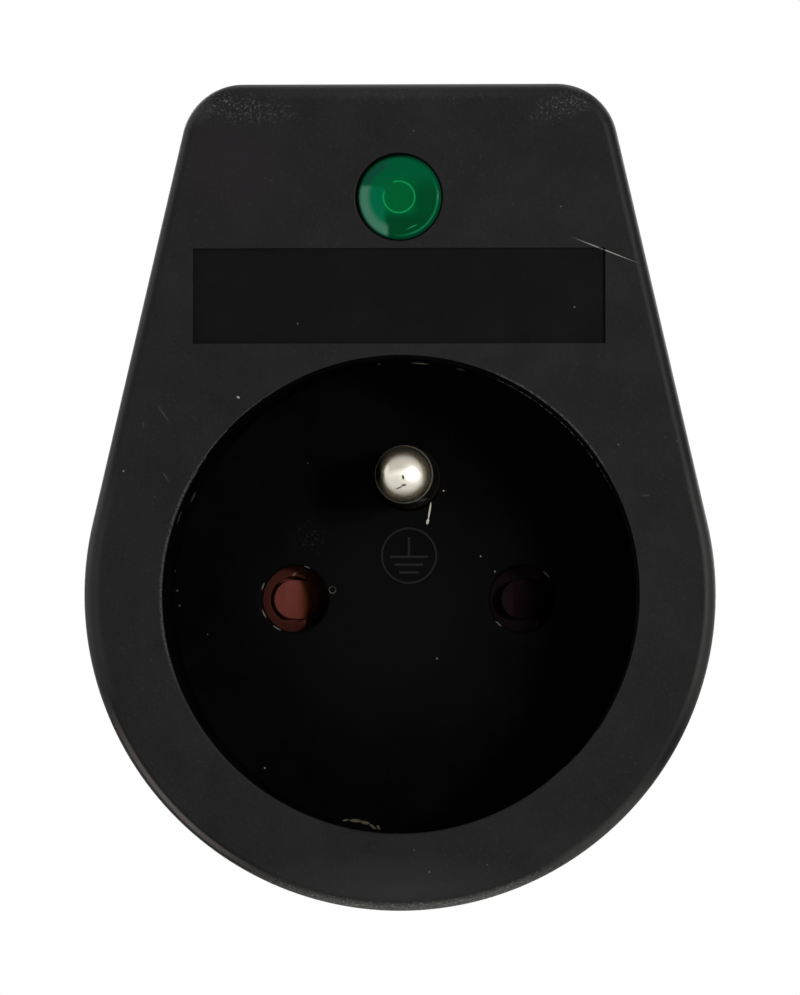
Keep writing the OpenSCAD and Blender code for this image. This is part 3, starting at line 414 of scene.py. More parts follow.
def moulded_black(name, tones, gloss, rough, grain_height, marks=(), specks=0.0):
    """Black moulded polycarbonate: two close tones and a fine spark-eroded grain. Each mark, such
    as a scuff, a film or a painted highlight, has its tone, the share of the grain that it catches
    on, the spots where it lies, and a ring if it keeps to one. Specks are the share of 1.2 mm cells
    that hold a grain of pale dust."""
    material, tree, shader, place = start_material(name)
    cloud = add_node(tree, "TexNoise", {"Vector": place, "Scale": 170.0, "Detail": 7.0,
                                        "Roughness": 0.72})
    spread = add_node(tree, "MapRange", {"Value": cloud.outputs["Fac"], "From Min": 0.35,
                                         "From Max": 0.65})
    colour = lay_tone(tree, hex_colour(tones[0]), tones[1], spread.outputs[0])
    grain = add_node(tree, "TexNoise", {"Vector": place, "Scale": 1000 / 0.32, "Detail": 3.0,
                                        "Roughness": 0.6})
    catch = add_node(tree, "TexNoise", {"Vector": place, "Scale": 1000 / 0.22, "Detail": 4.0,
                                        "Roughness": 0.75})
    for mark_tone, share, places, *ring in marks:
        found, *others = [spot(tree, place, *settings) for settings in places]
        for other in others:
            found = add_node(tree, "Math", {0: found, 1: other}, operation="MAXIMUM").outputs[0]
        caught = add_node(tree, "MapRange", {"Value": catch.outputs["Fac"],
                                             "From Min": 0.72 - 0.45 * share,
                                             "From Max": 0.82 - 0.45 * share})
        masks = [found, caught.outputs[0]]
        if ring:
            masks.append(band(tree, place, *ring))
        colour = lay_tone(tree, colour, mark_tone, *masks)
    if specks:
        cells = add_node(tree, "TexVoronoi", {"Vector": place, "Scale": 1000 / 1.2})
        dot = add_node(tree, "MapRange", {"Value": cells.outputs["Distance"], "From Min": 0.085,
                                          "From Max": 0.03})
        parts = add_node(tree, "SeparateColor", {0: cells.outputs["Color"]})
        kept = add_node(tree, "Math", {0: parts.outputs[0], 1: specks}, operation="LESS_THAN")
        colour = lay_tone(tree, colour, "#77756f", dot.outputs[0], kept.outputs[0],
                          parts.outputs[1])
    sheen_map = add_node(tree, "MapRange", {"Value": cloud.outputs["Fac"], "To Min": rough - 0.08,
                                            "To Max": rough + 0.08})
    bump = add_node(tree, "Bump", {"Height": grain.outputs["Fac"], "Strength": 0.6,
                                   "Distance": grain_height})
    set_inputs(tree, shader, {"Base Color": colour, "Roughness": sheen_map.outputs[0],
                              "Normal": bump.outputs[0], "Specular IOR Level": gloss})
    return material


# Spark-eroded black polycarbonate: an even matt black with a soft, slightly broken gloss.
rear_black = moulded_black("eroded_black_polycarbonate_rear", ("#0d0d0d", "#151515"), 0.14, 0.5,
                           0.00002)
rear_shell.data.materials.append(rear_black)
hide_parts("rear_housing")
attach(rear_shell, "body")


# Plug pins. Two solid brass pins, turned and nickel plated, with rounded ends. Each has a
# flange behind the nose's face and a tenon riveted over in the contact's base.
def metal(name, tone, dull_tone, rough, line_scale, stretch=(1.0, 1.0, 1.0), stains_and_painted_light=(),
          patch_scale=350.0):
    """A bare or plated metal with fine lines left by its tool, slightly duller patches, and
    laid-over marks, such as stains, scratches, painted highlights and painted shade, each a tone
    and the spot where it lies."""
    material, tree, shader, place = start_material(name)
    patches = add_node(tree, "TexNoise", {"Vector": place, "Scale": patch_scale, "Detail": 4.0})
    colour = lay_tone(tree, hex_colour(tone), dull_tone, patches.outputs["Fac"])
    for overlay_tone, settings in stains_and_painted_light:
        colour = lay_tone(tree, colour, overlay_tone, spot(tree, place, *settings))
    along = add_node(tree, "Mapping", {"Vector": place, "Scale": stretch})
    lines = add_node(tree, "TexNoise", {"Vector": along.outputs[0], "Scale": line_scale,
                                        "Detail": 2.0})
    wear = add_node(tree, "MapRange", {"Value": lines.outputs["Fac"], "To Min": rough * 0.7,
                                       "To Max": rough * 1.3})
    bump = add_node(tree, "Bump", {"Height": lines.outputs["Fac"], "Strength": 0.25,
                                   "Distance": 0.00001})
    set_inputs(tree, shader, {"Base Color": colour, "Roughness": wear.outputs[0],
                              "Normal": bump.outputs[0], "Metallic": 1.0})
    return material


# Nickel plate on turned brass: a warm silver with fine turning lines round the pin.
nickel_plate = metal("turned_nickel_plate", "#d9d5cb", "#cbc6ba", 0.16, 9000.0, (0.1, 1.0, 0.1))
PIN_LENGTH = 19.0
PIN_RADIUS = 2.4
PIN_TIP = 1.2
PIN_WAIST = 2.0
FLANGE_RADIUS = 3.4
FLANGE_TOP = NOSE_FACE + 1.4
TENON_RADIUS = 1.3
RIVET_RADIUS = 1.9
RIVET_LOW = 18.0
pin_profile = [(0, -PIN_LENGTH)]
pin_profile += arc_points(PIN_RADIUS - PIN_TIP, PIN_TIP - PIN_LENGTH, PIN_TIP, -90, 0, 8)
pin_profile += [
    (PIN_RADIUS, -0.05), (PIN_RADIUS + 0.05, 0), (PIN_SEAT, 0), (PIN_SEAT, NOSE_FACE),
    (FLANGE_RADIUS - 0.1, NOSE_FACE), (FLANGE_RADIUS, NOSE_FACE + 0.1),
    (FLANGE_RADIUS, FLANGE_TOP - 0.1), (FLANGE_RADIUS - 0.1, FLANGE_TOP),
    (PIN_WAIST, FLANGE_TOP), (PIN_WAIST, CONTACT_Z), (TENON_RADIUS, CONTACT_Z),
    (TENON_RADIUS, RIVET_LOW), (RIVET_RADIUS, RIVET_LOW), (RIVET_RADIUS - 0.2, RIVET_LOW + 0.4),
    (RIVET_RADIUS - 0.7, RIVET_LOW + 0.5), (0, RIVET_LOW + 0.5)]
for pin_name, node, x in (("live_plug_pin", "live_pin", PIN_X),
                          ("neutral_plug_pin", "neutral_pin", -PIN_X)):
    pin = stand_up(turned_solid(pin_name, pin_profile, x=x, steps=64))
    pin.data.materials.append(nickel_plate)
    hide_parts(node)
    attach(pin, "body")


# Earth clips. Two strips of spring steel in the grooves of the nose, bowed outwards so that
# they press on the side contacts of a wall socket, and hooked in at both ends.
def finish_node(node, material, edge=0.12):
    """Gives a carried-over CAD node its finish, slightly rounded edges and even normals."""
    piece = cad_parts[node]
    weld = piece.modifiers.new("weld", "WELD")
    weld.merge_threshold = 2e-6
    flats = piece.modifiers.new("flats", "DECIMATE")
    flats.decimate_type = "DISSOLVE"
    flats.angle_limit = math.radians(0.5)
    edges = piece.modifiers.new("edges", "BEVEL")
    edges.width = edge / 1000
    edges.segments = 2
    edges.limit_method = "ANGLE"
    edges.angle_limit = SHARP_FROM
    edges.harden_normals = True
    piece.data.materials.clear()
    piece.data.materials.append(material)


# Rolled spring steel: a cool grey with faint rolling lines along the strip.
spring_steel = metal("rolled_spring_steel", "#bfc1c4", "#aeb1b5", 0.24, 7000.0, (1.0, 0.08, 1.0))
for clip in ("earth_clip_top", "earth_clip_bottom"):
    finish_node(clip, spring_steel)


# Earth strap and tube. A folded brass strip joins the clips, the socket's earth pin and the
# slit tube that takes the earth pin of a wall socket.
# Brass from the mill: warm yellow, dulled a little, with rolling lines.
mill_brass = metal("rolled_brass", "#cfa85c", "#b8924c", 0.28, 6000.0, (0.1, 1.0, 1.0))
finish_node("earth_strap", mill_brass)
finish_node("earth_tube", mill_brass, 0.06)


# Socket contacts. Each is a stamped brass base with two sprung leaves that grip a pin, and a
# solder tag for its lead.
for contact in ("live_contact", "neutral_contact"):
    finish_node(contact, mill_brass, 0.06)


# Contact carrier. A pale glass-filled polyamide moulding with a tower round each contact and
# a track on top, in which the shutter slides.
def moulded_colour(name, tone, other_tone, rough, grain_mm, gloss=0.5, stains_and_painted_light=()):
    """Plain moulded plastic: two close tones, a fine grain, and laid-over marks, such as stains and
    painted shade, each a tone, the spot where it lies, and a ring if it keeps to one."""
    material, tree, shader, place = start_material(name)
    cloud = add_node(tree, "TexNoise", {"Vector": place, "Scale": 220.0, "Detail": 3.0})
    colour = lay_tone(tree, hex_colour(tone), other_tone, cloud.outputs["Fac"])
    for overlay_tone, settings, *ring in stains_and_painted_light:
        masks = [spot(tree, place, *settings)]
        if ring:
            masks.append(band(tree, place, *ring))
        colour = lay_tone(tree, colour, overlay_tone, *masks)
    grain = add_node(tree, "TexNoise", {"Vector": place, "Scale": 1000 / grain_mm, "Detail": 2.0})
    bump = add_node(tree, "Bump", {"Height": grain.outputs["Fac"], "Strength": 0.3,
                                   "Distance": 0.00002})
    set_inputs(tree, shader, {"Base Color": colour, "Normal": bump.outputs[0],
                              "Roughness": rough, "Specular IOR Level": gloss})
    return material


# Glass-filled polyamide: off-white, with a dull, slightly cloudy surface.
carrier_plastic = moulded_colour("glass_filled_polyamide", "#cfccc2", "#bdb9ae", 0.55, 0.4)
finish_node("contact_carrier", carrier_plastic, 0.15)


# Shutter. A red-brown slider that shuts both entry holes. A pin that comes in pushes on the
# ramp of its boss, and the whole slider gives way to the left against its spring.
# Moulded acetal: red-brown and waxy, with a low sheen. Painted shade darkens its right half, the
# left end round its boss, and the right side of that boss, and one pale crumb sticks above.
WELL_MIDDLE_X = -9.72
WELL_RADIUS = 1.95
WELL_LOW = 34.5
WELL_TOP = 36.098
# Painted shade under the right hole, round the left boss and on that boss's right side, then a real
# pale crumb.
shutter_shade_and_crumb = [
    ("#120609", ((9.5, 35.0, 0.0), (4.5, 8.0, 6.0), 0.3)),
    ("#34160f", ((-10.5, 35.0, 0.0), (4.5, 8.0, 6.0), 0.3), (WELL_MIDDLE_X, 0), 1.5, 3.9),
    ("#4a2410", ((-8.6, 35.0, 0.0), (0.9, 9.0, 2.4), 0.55)),
    ("#7a5a44", ((-9.65, 36.1, 2.12), (0.3, 1.0, 0.1), 0.8, 45.0)),
]
shutter_plastic = moulded_colour("red_brown_acetal", "#66322b", "#542823", 0.5, 0.25, 0.03,
                                 shutter_shade_and_crumb)
finish_node("shutter", shutter_plastic, 0.12)
# The end block goes on as a low wall round the round end of the left boss.
well_wall = block((-12.3, -3.0, WELL_LOW), (-8.7, 3.0, WELL_TOP))
work_on(well_wall, "DIFFERENCE",
        [rod(WELL_MIDDLE_X, 0, WELL_LOW - 0.5, WELL_TOP + 1, WELL_RADIUS)])
well_wall.name = "shutter_well_wall"
stand_up(well_wall)
well_wall.data.materials.append(shutter_plastic)
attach(well_wall, "shutter")


# Shutter spring. A small compression spring of drawn steel wire between the end wall of the carrier
# and the shutter. In the real adapter it shortens as the shutter slides; here it keeps one length.
SPRING_START = -20.9
SPRING_END = -12.82
SPRING_Z = 34.75
COIL_RADIUS = 1.2
WIRE_RADIUS = 0.16
COILS = 7
SPRING_STEPS = 28
WIRE_SIDES = 10
shape = bmesh.new()
bmesh.ops.create_circle(shape, segments=WIRE_SIDES, radius=WIRE_RADIUS, cap_ends=False)
bmesh.ops.translate(shape, vec=(SPRING_START, COIL_RADIUS, SPRING_Z), verts=shape.verts)
bmesh.ops.spin(shape, geom=shape.verts[:] + shape.edges[:], cent=(SPRING_START, 0, SPRING_Z),
               axis=(1, 0, 0), dvec=((SPRING_END - SPRING_START) / (COILS * SPRING_STEPS), 0, 0),
               angle=2 * math.pi * COILS, steps=COILS * SPRING_STEPS)
for end in range(2):
    rim = [e for e in shape.edges if len(e.link_faces) == 1]
    bmesh.ops.contextual_create(shape, geom=rim[:WIRE_SIDES])
coil = finished_object("coil_spring", shape)
stand_up(coil)
coil.modifiers.clear()
drawn_wire = metal("drawn_steel_wire", "#c3c5c8", "#a9acb0", 0.22, 9000.0, (0.3, 1.0, 1.0))
coil.data.materials.append(drawn_wire)
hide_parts("shutter_spring")
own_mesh(coil)
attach(coil, "body")


# Circuit board. Epoxy glass with green lacquer over copper tracks, which show through it as
# paler bands. It stands on two pegs of the front shell.
board_lacquer, tree, shader, place = start_material("lacquered_epoxy_glass")
face_on = add_node(tree, "Mapping", {"Vector": place, "Rotation": (math.radians(90), 0, 0)})
tracks = add_node(tree, "TexBrick", {
    "Vector": face_on.outputs[0], "Color1": hex_colour("#1f6b3a"), "Color2": hex_colour("#2a7a45"),
    "Mortar": hex_colour("#14502b"), "Scale": 180.0, "Mortar Size": 0.06})
weave = add_node(tree, "TexNoise", {"Vector": place, "Scale": 2500.0, "Detail": 2.0})
bump = add_node(tree, "Bump", {"Height": tracks.outputs["Fac"], "Strength": 0.5,
                               "Distance": 0.00003})
sheen_map = add_node(tree, "MapRange", {"Value": weave.outputs["Fac"], "To Min": 0.25,
                                        "To Max": 0.4})
set_inputs(tree, shader, {"Base Color": tracks.outputs["Color"], "Normal": bump.outputs[0],
                          "Roughness": sheen_map.outputs[0]})
finish_node("circuit_board", board_lacquer, 0.08)


# Varistors. Three discs in blue epoxy, dipped, with their tinned wires through the board. They
# take the surge between each pair of the three wires.
# Dipped epoxy: deep blue, glossy, and slightly uneven as a dipped coat is.
varistor_coat = moulded_colour("dipped_blue_epoxy", "#1f4f9e", "#1a4488", 0.28, 1.4)
for varistor in ("varistor_live_neutral", "varistor_live_earth", "varistor_neutral_earth"):
    finish_node(varistor, varistor_coat, 0.05)


# Gas tube, fuse, resistor and diode. The gas tube is a white ceramic ring with a metal cap at
# each end, the fuse a small metal barrel, and the other two lie across the board.
def banded(name, axis, middle, bands, base, rough):
    """A round part with bands across it: each band is (from, to, tone) along one axis, in
    millimetres from its middle."""
    material, tree, shader, place = start_material(name)
    parts = add_node(tree, "SeparateXYZ", {0: place})
    along = add_node(tree, "Math", {0: parts.outputs[axis], 1: middle / 1000},
                     operation="SUBTRACT").outputs[0]
    cloud = add_node(tree, "TexNoise", {"Vector": place, "Scale": 900.0, "Detail": 3.0})
    shade = add_node(tree, "MapRange", {"Value": cloud.outputs["Fac"], "To Min": 0.0,
                                        "To Max": 0.25})
    colour = lay_tone(tree, hex_colour(base), "#4a4a46", shade.outputs[0])
    for low, high, tone in bands:
        inside = add_node(tree, "Math", {0: along, 1: (low + high) / 2000, 2: (high - low) / 2000},
                          operation="COMPARE")
        colour = lay_tone(tree, colour, tone, inside.outputs[0])
    set_inputs(tree, shader, {"Base Color": colour, "Roughness": rough})
    return material


# White ceramic between tinned caps, a tinned copper barrel, cream lacquer with four code rings,
# and black epoxy with one pale ring. The last two have tinned wires at both ends.
GAS_TUBE_Z = 27.6
tube_bands = [(-2.9, -1.7, "#a8a9ab"), (1.7, 2.9, "#a8a9ab")]
resistor_bands = [(-5.3, -4.0, "#bdbdb8"), (-2.9, -2.3, "#6b3a1f"), (-1.6, -1.0, "#1c1c1c"),
                  (-0.3, 0.3, "#b8372c"), (2.2, 2.8, "#b08c2e"), (4.0, 5.3, "#bdbdb8")]
diode_bands = [(-3.8, -2.5, "#bdbdb8"), (1.1, 1.8, "#c9c9c5"), (2.5, 3.8, "#bdbdb8")]
ceramic = banded("ceramic_with_metal_caps", 2, GAS_TUBE_Z, tube_bands, "#dcd8cc", 0.35)
barrel = metal("tinned_copper_barrel", "#c9c6bd", "#b3afa4", 0.3, 3000.0)
film_lacquer = banded("lacquered_film_resistor", 0, 0.0, resistor_bands, "#c2a67a", 0.4)
black_epoxy = banded("black_epoxy_diode", 0, 0.0, diode_bands, "#1a1a1b", 0.35)
finish_node("gas_tube", ceramic, 0.08)
finish_node("thermal_fuse", barrel, 0.08)
finish_node("resistor", film_lacquer, 0.1)
finish_node("diode", black_epoxy, 0.1)


# Status light. A small green light-emitting diode in tinted epoxy, right behind the lens.
led_epoxy = moulded_colour("tinted_green_epoxy", "#1f9a5a", "#17824b", 0.12, 1.2)
finish_node("status_led", led_epoxy, 0.03)


# Leads. Stranded copper in soft insulation, soldered between the contacts and the board:
# brown for live, blue for neutral, green and yellow for earth.
live_skin = moulded_colour("brown_soft_pvc", "#6b3c22", "#5d331c", 0.38, 0.7)
neutral_skin = moulded_colour("blue_soft_pvc", "#2456a8", "#1d4a95", 0.38, 0.7)
earth_skin, tree, shader, place = start_material("green_and_yellow_pvc")
stripes = add_node(tree, "TexWave", {"Vector": place, "Scale": 160.0, "Distortion": 0.6},
                   wave_type="BANDS", bands_direction="DIAGONAL")
stripe_edge = add_node(tree, "MapRange", {"Value": stripes.outputs["Fac"], "From Min": 0.62,
                                          "From Max": 0.7})
stripe_tone = lay_tone(tree, hex_colour("#2f8a3c"), "#d8c832", stripe_edge.outputs[0])
set_inputs(tree, shader, {"Base Color": stripe_tone, "Roughness": 0.38})
for lead, skin in (("live_lead", live_skin), ("neutral_lead", neutral_skin),
                   ("earth_lead", earth_skin)):
    finish_node(lead, skin, 0.05)


# Front shell. The user's half of the housing, moulded in one with the recess that takes a
# plug. Above the recess are a sunk panel, left plain, and the hole for the indicator lens.
RECESS_RADIUS = 19.5
RECESS_FLOOR = 38.5
RECESS_BACK = 36.3
FACE_IN = FRONT_Z - WALL
CUP_RADIUS = 21.3
LENS_Y = 32.83
LENS_HOLE = 3.6
PANEL_X = 16.98
PANEL_Y = 24.7
PANEL_HALF = 3.93
PANEL_DEPTH = 0.4
ENTRY_RADIUS = 2.75
COLLAR_HOLE = 2.7
FRONT_BOSS = 3.2
NOSE_BOSS_LOW = 18.65
SCREW_PILOT = 1.45
NOSE_PILOT_TOP = 34.0
TOP_PILOT_TOP = 38.9
PEG = (7.0, 24.2)
PEG_RADIUS = 1.4
PEG_TIP = 0.9
PEG_ROOT = 1.8
BOARD_BACK = 43.0
BOARD_FRONT = 44.6
STEP_HIGH = 1.6
WORN_MIDDLE = (0.17, 0.21)
WORN_LOW = 52.7
WORN_RADIUS = 18.83
WORN_REACH = 1.9
front_shell = outline_solid("front_shell", PARTING_Z, FRONT_Z, draft_in(PARTING_Z), 0.0,
                            low_round=0.12, high_round=1.0)
step_in = draft_in(PARTING_Z) + WALL / 2
work_on(front_shell, "DIFFERENCE", [
    outline_solid("shell_hollow", PARTING_Z - 1, FACE_IN, WALL + draft_in(PARTING_Z - 1),
                  WALL + draft_in(FACE_IN)),
    outline_solid("shell_step", PARTING_Z - 1, PARTING_Z + STEP_HIGH, step_in, step_in),
])
peg_profile = [(0, BOARD_BACK - 0.6), (PEG_RADIUS - 0.1, BOARD_BACK - 0.6),
               (PEG_RADIUS, BOARD_BACK - 0.4), (PEG_RADIUS, BOARD_BACK), (PEG_TIP, BOARD_BACK),
               (PEG_TIP, BOARD_FRONT), (PEG_ROOT, BOARD_FRONT), (PEG_ROOT, FACE_IN + 0.4),
               (0, FACE_IN + 0.4)]
front_adds = [rod(0, 0, RECESS_BACK, FACE_IN + 0.2, CUP_RADIUS),
              rod(0, NOSE_SCREW_Y, NOSE_BOSS_LOW, RECESS_BACK + 0.2, FRONT_BOSS)]
for side in (-1, 1):
    front_adds += [
        rod(side * TOP_SCREW[0], TOP_SCREW[1], TOP_TOWER_TOP + 0.05, FACE_IN + 0.3, FRONT_BOSS),
        turned_solid("peg", peg_profile, side * PEG[0], PEG[1], steps=48),
    ]
work_on(front_shell, "UNION", front_adds)


def hole_tool(name, x, y, radius, floor, top, rounding, steps=96):
    """The tool for a round hole that runs down to a floor, with its mouth rounded over."""
    profile = [(0, floor), (radius, floor)]
    profile += arc_points(radius + rounding, top - rounding, rounding, 180, 90, 6)
    profile += [(radius + rounding, top + 1), (0, top + 1)]
    return turned_solid(name, profile, x, y, steps)


front_cuts = [
    hole_tool("recess", 0, 0, RECESS_RADIUS, RECESS_FLOOR, FRONT_Z, 0.2, steps=180),
    turned_solid("worn_rim", [(0, WORN_LOW), (WORN_RADIUS, WORN_LOW),
                              (WORN_RADIUS + WORN_REACH, WORN_LOW + WORN_REACH),
                              (0, WORN_LOW + WORN_REACH)], *WORN_MIDDLE, steps=180),
    hole_tool("lens_hole", 0, LENS_Y, LENS_HOLE, FACE_IN - 1, FRONT_Z, 0.12),
    hole_tool("earth_hole", 0, EARTH_Y, COLLAR_HOLE, RECESS_BACK - 1, RECESS_FLOOR, 0.08),
    block((-PANEL_X, PANEL_Y - PANEL_HALF, FRONT_Z - PANEL_DEPTH),
          (PANEL_X, PANEL_Y + PANEL_HALF, FRONT_Z + 1)),
    rod(0, NOSE_SCREW_Y, NOSE_TOWER_TOP, NOSE_PILOT_TOP, SCREW_PILOT),
]
for side in (-1, 1):
    front_cuts += [
        hole_tool("entry_hole", side * PIN_X, 0, ENTRY_RADIUS, RECESS_BACK - 1, RECESS_FLOOR, 0.3),
        rod(side * TOP_SCREW[0], TOP_SCREW[1], TOP_TOWER_TOP - 1, TOP_PILOT_TOP, SCREW_PILOT),
    ]
work_on(front_shell, "DIFFERENCE", front_cuts)
stand_up(front_shell)

# Spark-eroded black polycarbonate, in three finishes from the one tool: the outer face catches a
# soft even gloss, and the panel is coarser and darker. The recess takes a darker, nearly glossless
# copy of the black, which is painted shade for the inside of the recess.
corner_scuffs = [
    ((-13.5, FRONT_Z, 40.3), (5.9, 2, 1.5), 0.7, -8.0),
    ((14.0, FRONT_Z, 40.6), (4.2, 2, 1.5), 0.8, 20.0)]
top_scuffs = [((0, FRONT_Z, 41.3), (15, 2, 0.9), 0.9)]
long_scratch = [((17.0, FRONT_Z, 28.4), (3.1, 1, 0.06), 0.6, -21.5)]
face_nicks = [
    ((-13.25, FRONT_Z, 16.36), (0.17, 1, 0.11), 0.5, -30.0),
    ((-22.7, FRONT_Z, 10.3), (0.08, 1, 0.08))]
faint_scratches = [
    ((-19.4, FRONT_Z, 15.0), (1.15, 1, 0.11), 0.8, -55.5),
    ((-19.2, FRONT_Z, 9.8), (0.75, 1, 0.09), 0.8, -55.0),
    ((-21.1, FRONT_Z, 14.1), (0.1, 1, 0.4), 0.8), ((20.3, FRONT_Z, 8.25), (0.45, 1, 0.1), 0.8, 5.0)]
# A paler band along the bottom of the face and over its lower edge.
low_paler_band = [((0, FRONT_Z, -24.3), (15.0, 1, 3.4), 1.0)]
# Painted highlights that widen the fillet highlight at both top corners.
corner_fillet_highlight = [
    ((-17.4, 53.0, 40.6), (2.6, 2.0, 2.2), 0.9), ((17.6, 53.0, 40.8), (1.8, 2.0, 1.6), 0.9)]
warm_patch = [((-14.0, FRONT_Z, 35.5), (8.0, 1, 6.0), 1.0, -20.0)]
whole_face = [((0, FRONT_Z, 8), (60, 4, 60), 0.1)]
EDGE_MIDDLE = (0, BODY_MIDDLE_Y)
# Painted highlights on the rounded edge of the face, in bands along its bottom, its lower corners,
# its two sides and its top.
low_edge_highlight = [((2.0, 53.2, -26), (17.0, 2.2, 9.0), 0.6)]
right_edge_highlight = [((16.5, 53.2, -19.0), (7.5, 2.2, 3.2), 0.6, 47.0)]
left_edge_highlight = [((-18.9, 53.2, -17.2), (4.0, 2.2, 13.0), 0.8, 42.0)]
right_side_highlight = [((25.5, 53.2, -2.0), (3.0, 2.2, 19.0), 0.6)]
left_side_highlight = [((-25.5, 53.2, 2.0), (3.0, 2.2, 17.0), 0.6)]
top_edge_highlight = [((0, 53.0, 42.4), (22.0, 2.0, 1.7), 0.8)]
edge_grit = [((1.0, 53.0, -26), (20.0, 2.2, 6.0), 0.7)]
# Wear and a painted highlight: a pale line along the rounded rim of the recess.
worn_rim = [
    ((-19.0, FRONT_Z, 3.0), (4.0, 0.6, 13.0), 0.5, -8.0),
    ((-13.9, FRONT_Z, 13.9), (8.5, 0.6, 2.6), 0.5, 45.0),
    ((2.0, FRONT_Z, 19.5), (9.0, 0.6, 3.0), 0.6)]
# A painted highlight along the outer edge of the scraped step at the upper right of the recess rim.
scraped_rim_highlight = [((12.5, FRONT_Z, 15.2), (8.5, 0.5, 2.6), 0.4, -47.0)]
face_marks = [
    ("#202020", 1.0, low_paler_band),
    ("#161215", 1.0, warm_patch),
    ("#343333", 0.9, corner_fillet_highlight),
    ("#2c2c2b", 0.25, whole_face),
    ("#4c4c4a", 0.85, low_edge_highlight, EDGE_MIDDLE, 25.3, 26.9),
    ("#353533", 0.85, right_edge_highlight, EDGE_MIDDLE, 25.1, 26.9),
    ("#7a7974", 0.36, edge_grit, EDGE_MIDDLE, 25.2, 26.9),
    ("#4f4947", 1.2, left_edge_highlight, EDGE_MIDDLE, 25.3, 25.8),
    ("#282827", 1.2, right_side_highlight, EDGE_MIDDLE, 25.0, 26.3),
    ("#212121", 1.2, left_side_highlight, EDGE_MIDDLE, 24.6, 26.4),
    ("#2b2a2a", 1.0, top_edge_highlight),
    ("#4b494a", 0.42, corner_scuffs),
    ("#302e2e", 0.4, top_scuffs),
    ("#343331", 0.65, worn_rim, (0, 0), 19.5, 19.8),
    ("#3b3a38", 0.62, scraped_rim_highlight, WORN_MIDDLE, 19.6, 19.82),
    ("#2f2e2d", 1.2, faint_scratches),
    ("#8d8b86", 0.9, long_scratch + face_nicks),
]
face_black = moulded_black("eroded_black_polycarbonate_face", ("#090909", "#141414"), 0.11, 0.5,
                           0.00002, face_marks, specks=0.12)
panel_black = moulded_black("coarse_black_polycarbonate_panel", ("#060606", "#0d0d0d"), 0.045, 0.6,
                            0.00004, [("#8d8b86", 0.8, long_scratch)], specks=0.05)
wall_chips = [
    ((1.2, 43.5, 19.4), (0.85, 2.2, 0.6)), ((4.6, 43.8, 18.9), (0.45, 1.4, 0.4)),
    ((-2.1, 44.5, 19.4), (0.12, 1.2, 0.4))]
wall_scuffs = [
    ((-17.6, 43.9, 8.35), (0.4, 1.5, 0.6)), ((-18.4, 49.8, 6.6), (0.4, 0.9, 0.75)),
    ((-19.4, 40.2, 2.3), (0.3, 0.9, 0.14)), ((-19.3, 38.5, 0.7), (0.14, 0.4, 0.12)),
    ((-19.1, 38.5, -0.55), (0.14, 0.4, 0.12)), ((6.4, 44.0, 18.3), (0.3, 1.2, 0.4))]
# A painted highlight along the inner edge of the scraped step, where the recess meets the face.
inner_rim_highlight = [((12.5, 53.1, 15.2), (9.0, 0.35, 2.6), 0.3, -47.0)]
# Chips and painted glints on the rounded rims of the two entry holes.
left_rim_chips_and_glints = [
    ((-12.2, RECESS_FLOOR, 1.1), (0.3, 0.6, 0.4), 0.6),
    ((-12.0, RECESS_FLOOR, -1.2), (0.4, 0.6, 0.45), 0.6),
    ((-11.0, RECESS_FLOOR, -2.45), (0.5, 0.6, 0.4), 0.6),
    ((-8.45, RECESS_FLOOR, 2.65), (0.25, 0.6, 0.25))]
right_rim_chips_and_glints = [
    ((11.5, RECESS_FLOOR, 2.0), (0.4, 0.6, 0.4), 0.4),
    ((7.5, RECESS_FLOOR, -2.1), (0.4, 0.6, 0.3), 0.4)]
curl = [((-6.38, RECESS_FLOOR, 0.70), (0.44, 0.3, 0.42))]
crumb_line = [
    ((-5.24, RECESS_FLOOR, -18.45), (0.3, 0.5, 0.1), 0.4, 12.0),
    ((-4.40, RECESS_FLOOR, -18.49), (0.6, 0.5, 0.16), 0.4, -4.0),
    ((-3.60, RECESS_FLOOR, -18.66), (0.45, 0.5, 0.16), 0.4, -10.0),
    ((-2.98, RECESS_FLOOR, -18.98), (0.4, 0.5, 0.11), 0.4, -38.0),
    ((-2.50, RECESS_FLOOR, -19.05), (0.13, 0.5, 0.24), 0.4, 25.0)]
floor_dust = [((-8.2, RECESS_FLOOR, 5.0), (1.7, 0.5, 1.9), 0.9)]
recess_lint = [
    ((1.78, RECESS_FLOOR, 7.3), (0.08, 0.5, 0.9), 0.3, -9.0),
    ((1.62, RECESS_FLOOR, 6.45), (0.12, 0.5, 0.28), 0.3, -14.0),
    ((1.35, RECESS_FLOOR, 8.5), (0.3, 0.5, 0.06), 0.4, 10.0),
    ((2.95, RECESS_FLOOR, 9.0), (0.07, 0.5, 0.07), 0.4)]
recess_film = [((-1.8, RECESS_FLOOR, -1.2), (14.2, 3.0, 14.5), 0.65)]
recess_marks = [
    ("#0c0c0d", 1.2, recess_film),
    ("#313132", 0.35, floor_dust),
    ("#8f8a7c", 0.9, wall_chips),
    ("#3c3c3b", 0.8, wall_scuffs),
    ("#63625f", 1.1, left_rim_chips_and_glints, (-PIN_X, 0), 2.79, 2.91),
    ("#4b4a47", 1.2, right_rim_chips_and_glints, (PIN_X, 0), 2.78, 2.95),
    ("#53524e", 1.0, curl, (-6.33, 0.76), 0.23, 0.33),
    ("#4a4946", 0.5, inner_rim_highlight, (0, 0), 19.42, 19.58),
    ("#4f4b3d", 1.1, crumb_line),
    ("#b9b5a5", 1.2, recess_lint),
]
recess_black_painted_shade = moulded_black("eroded_black_polycarbonate_recess_painted_shade", ("#020202", "#060606"), 0.006,
                             0.5, 0.00002, recess_marks, specks=0.05)
for finish in (face_black, panel_black, recess_black_painted_shade):
    front_shell.data.materials.append(finish)
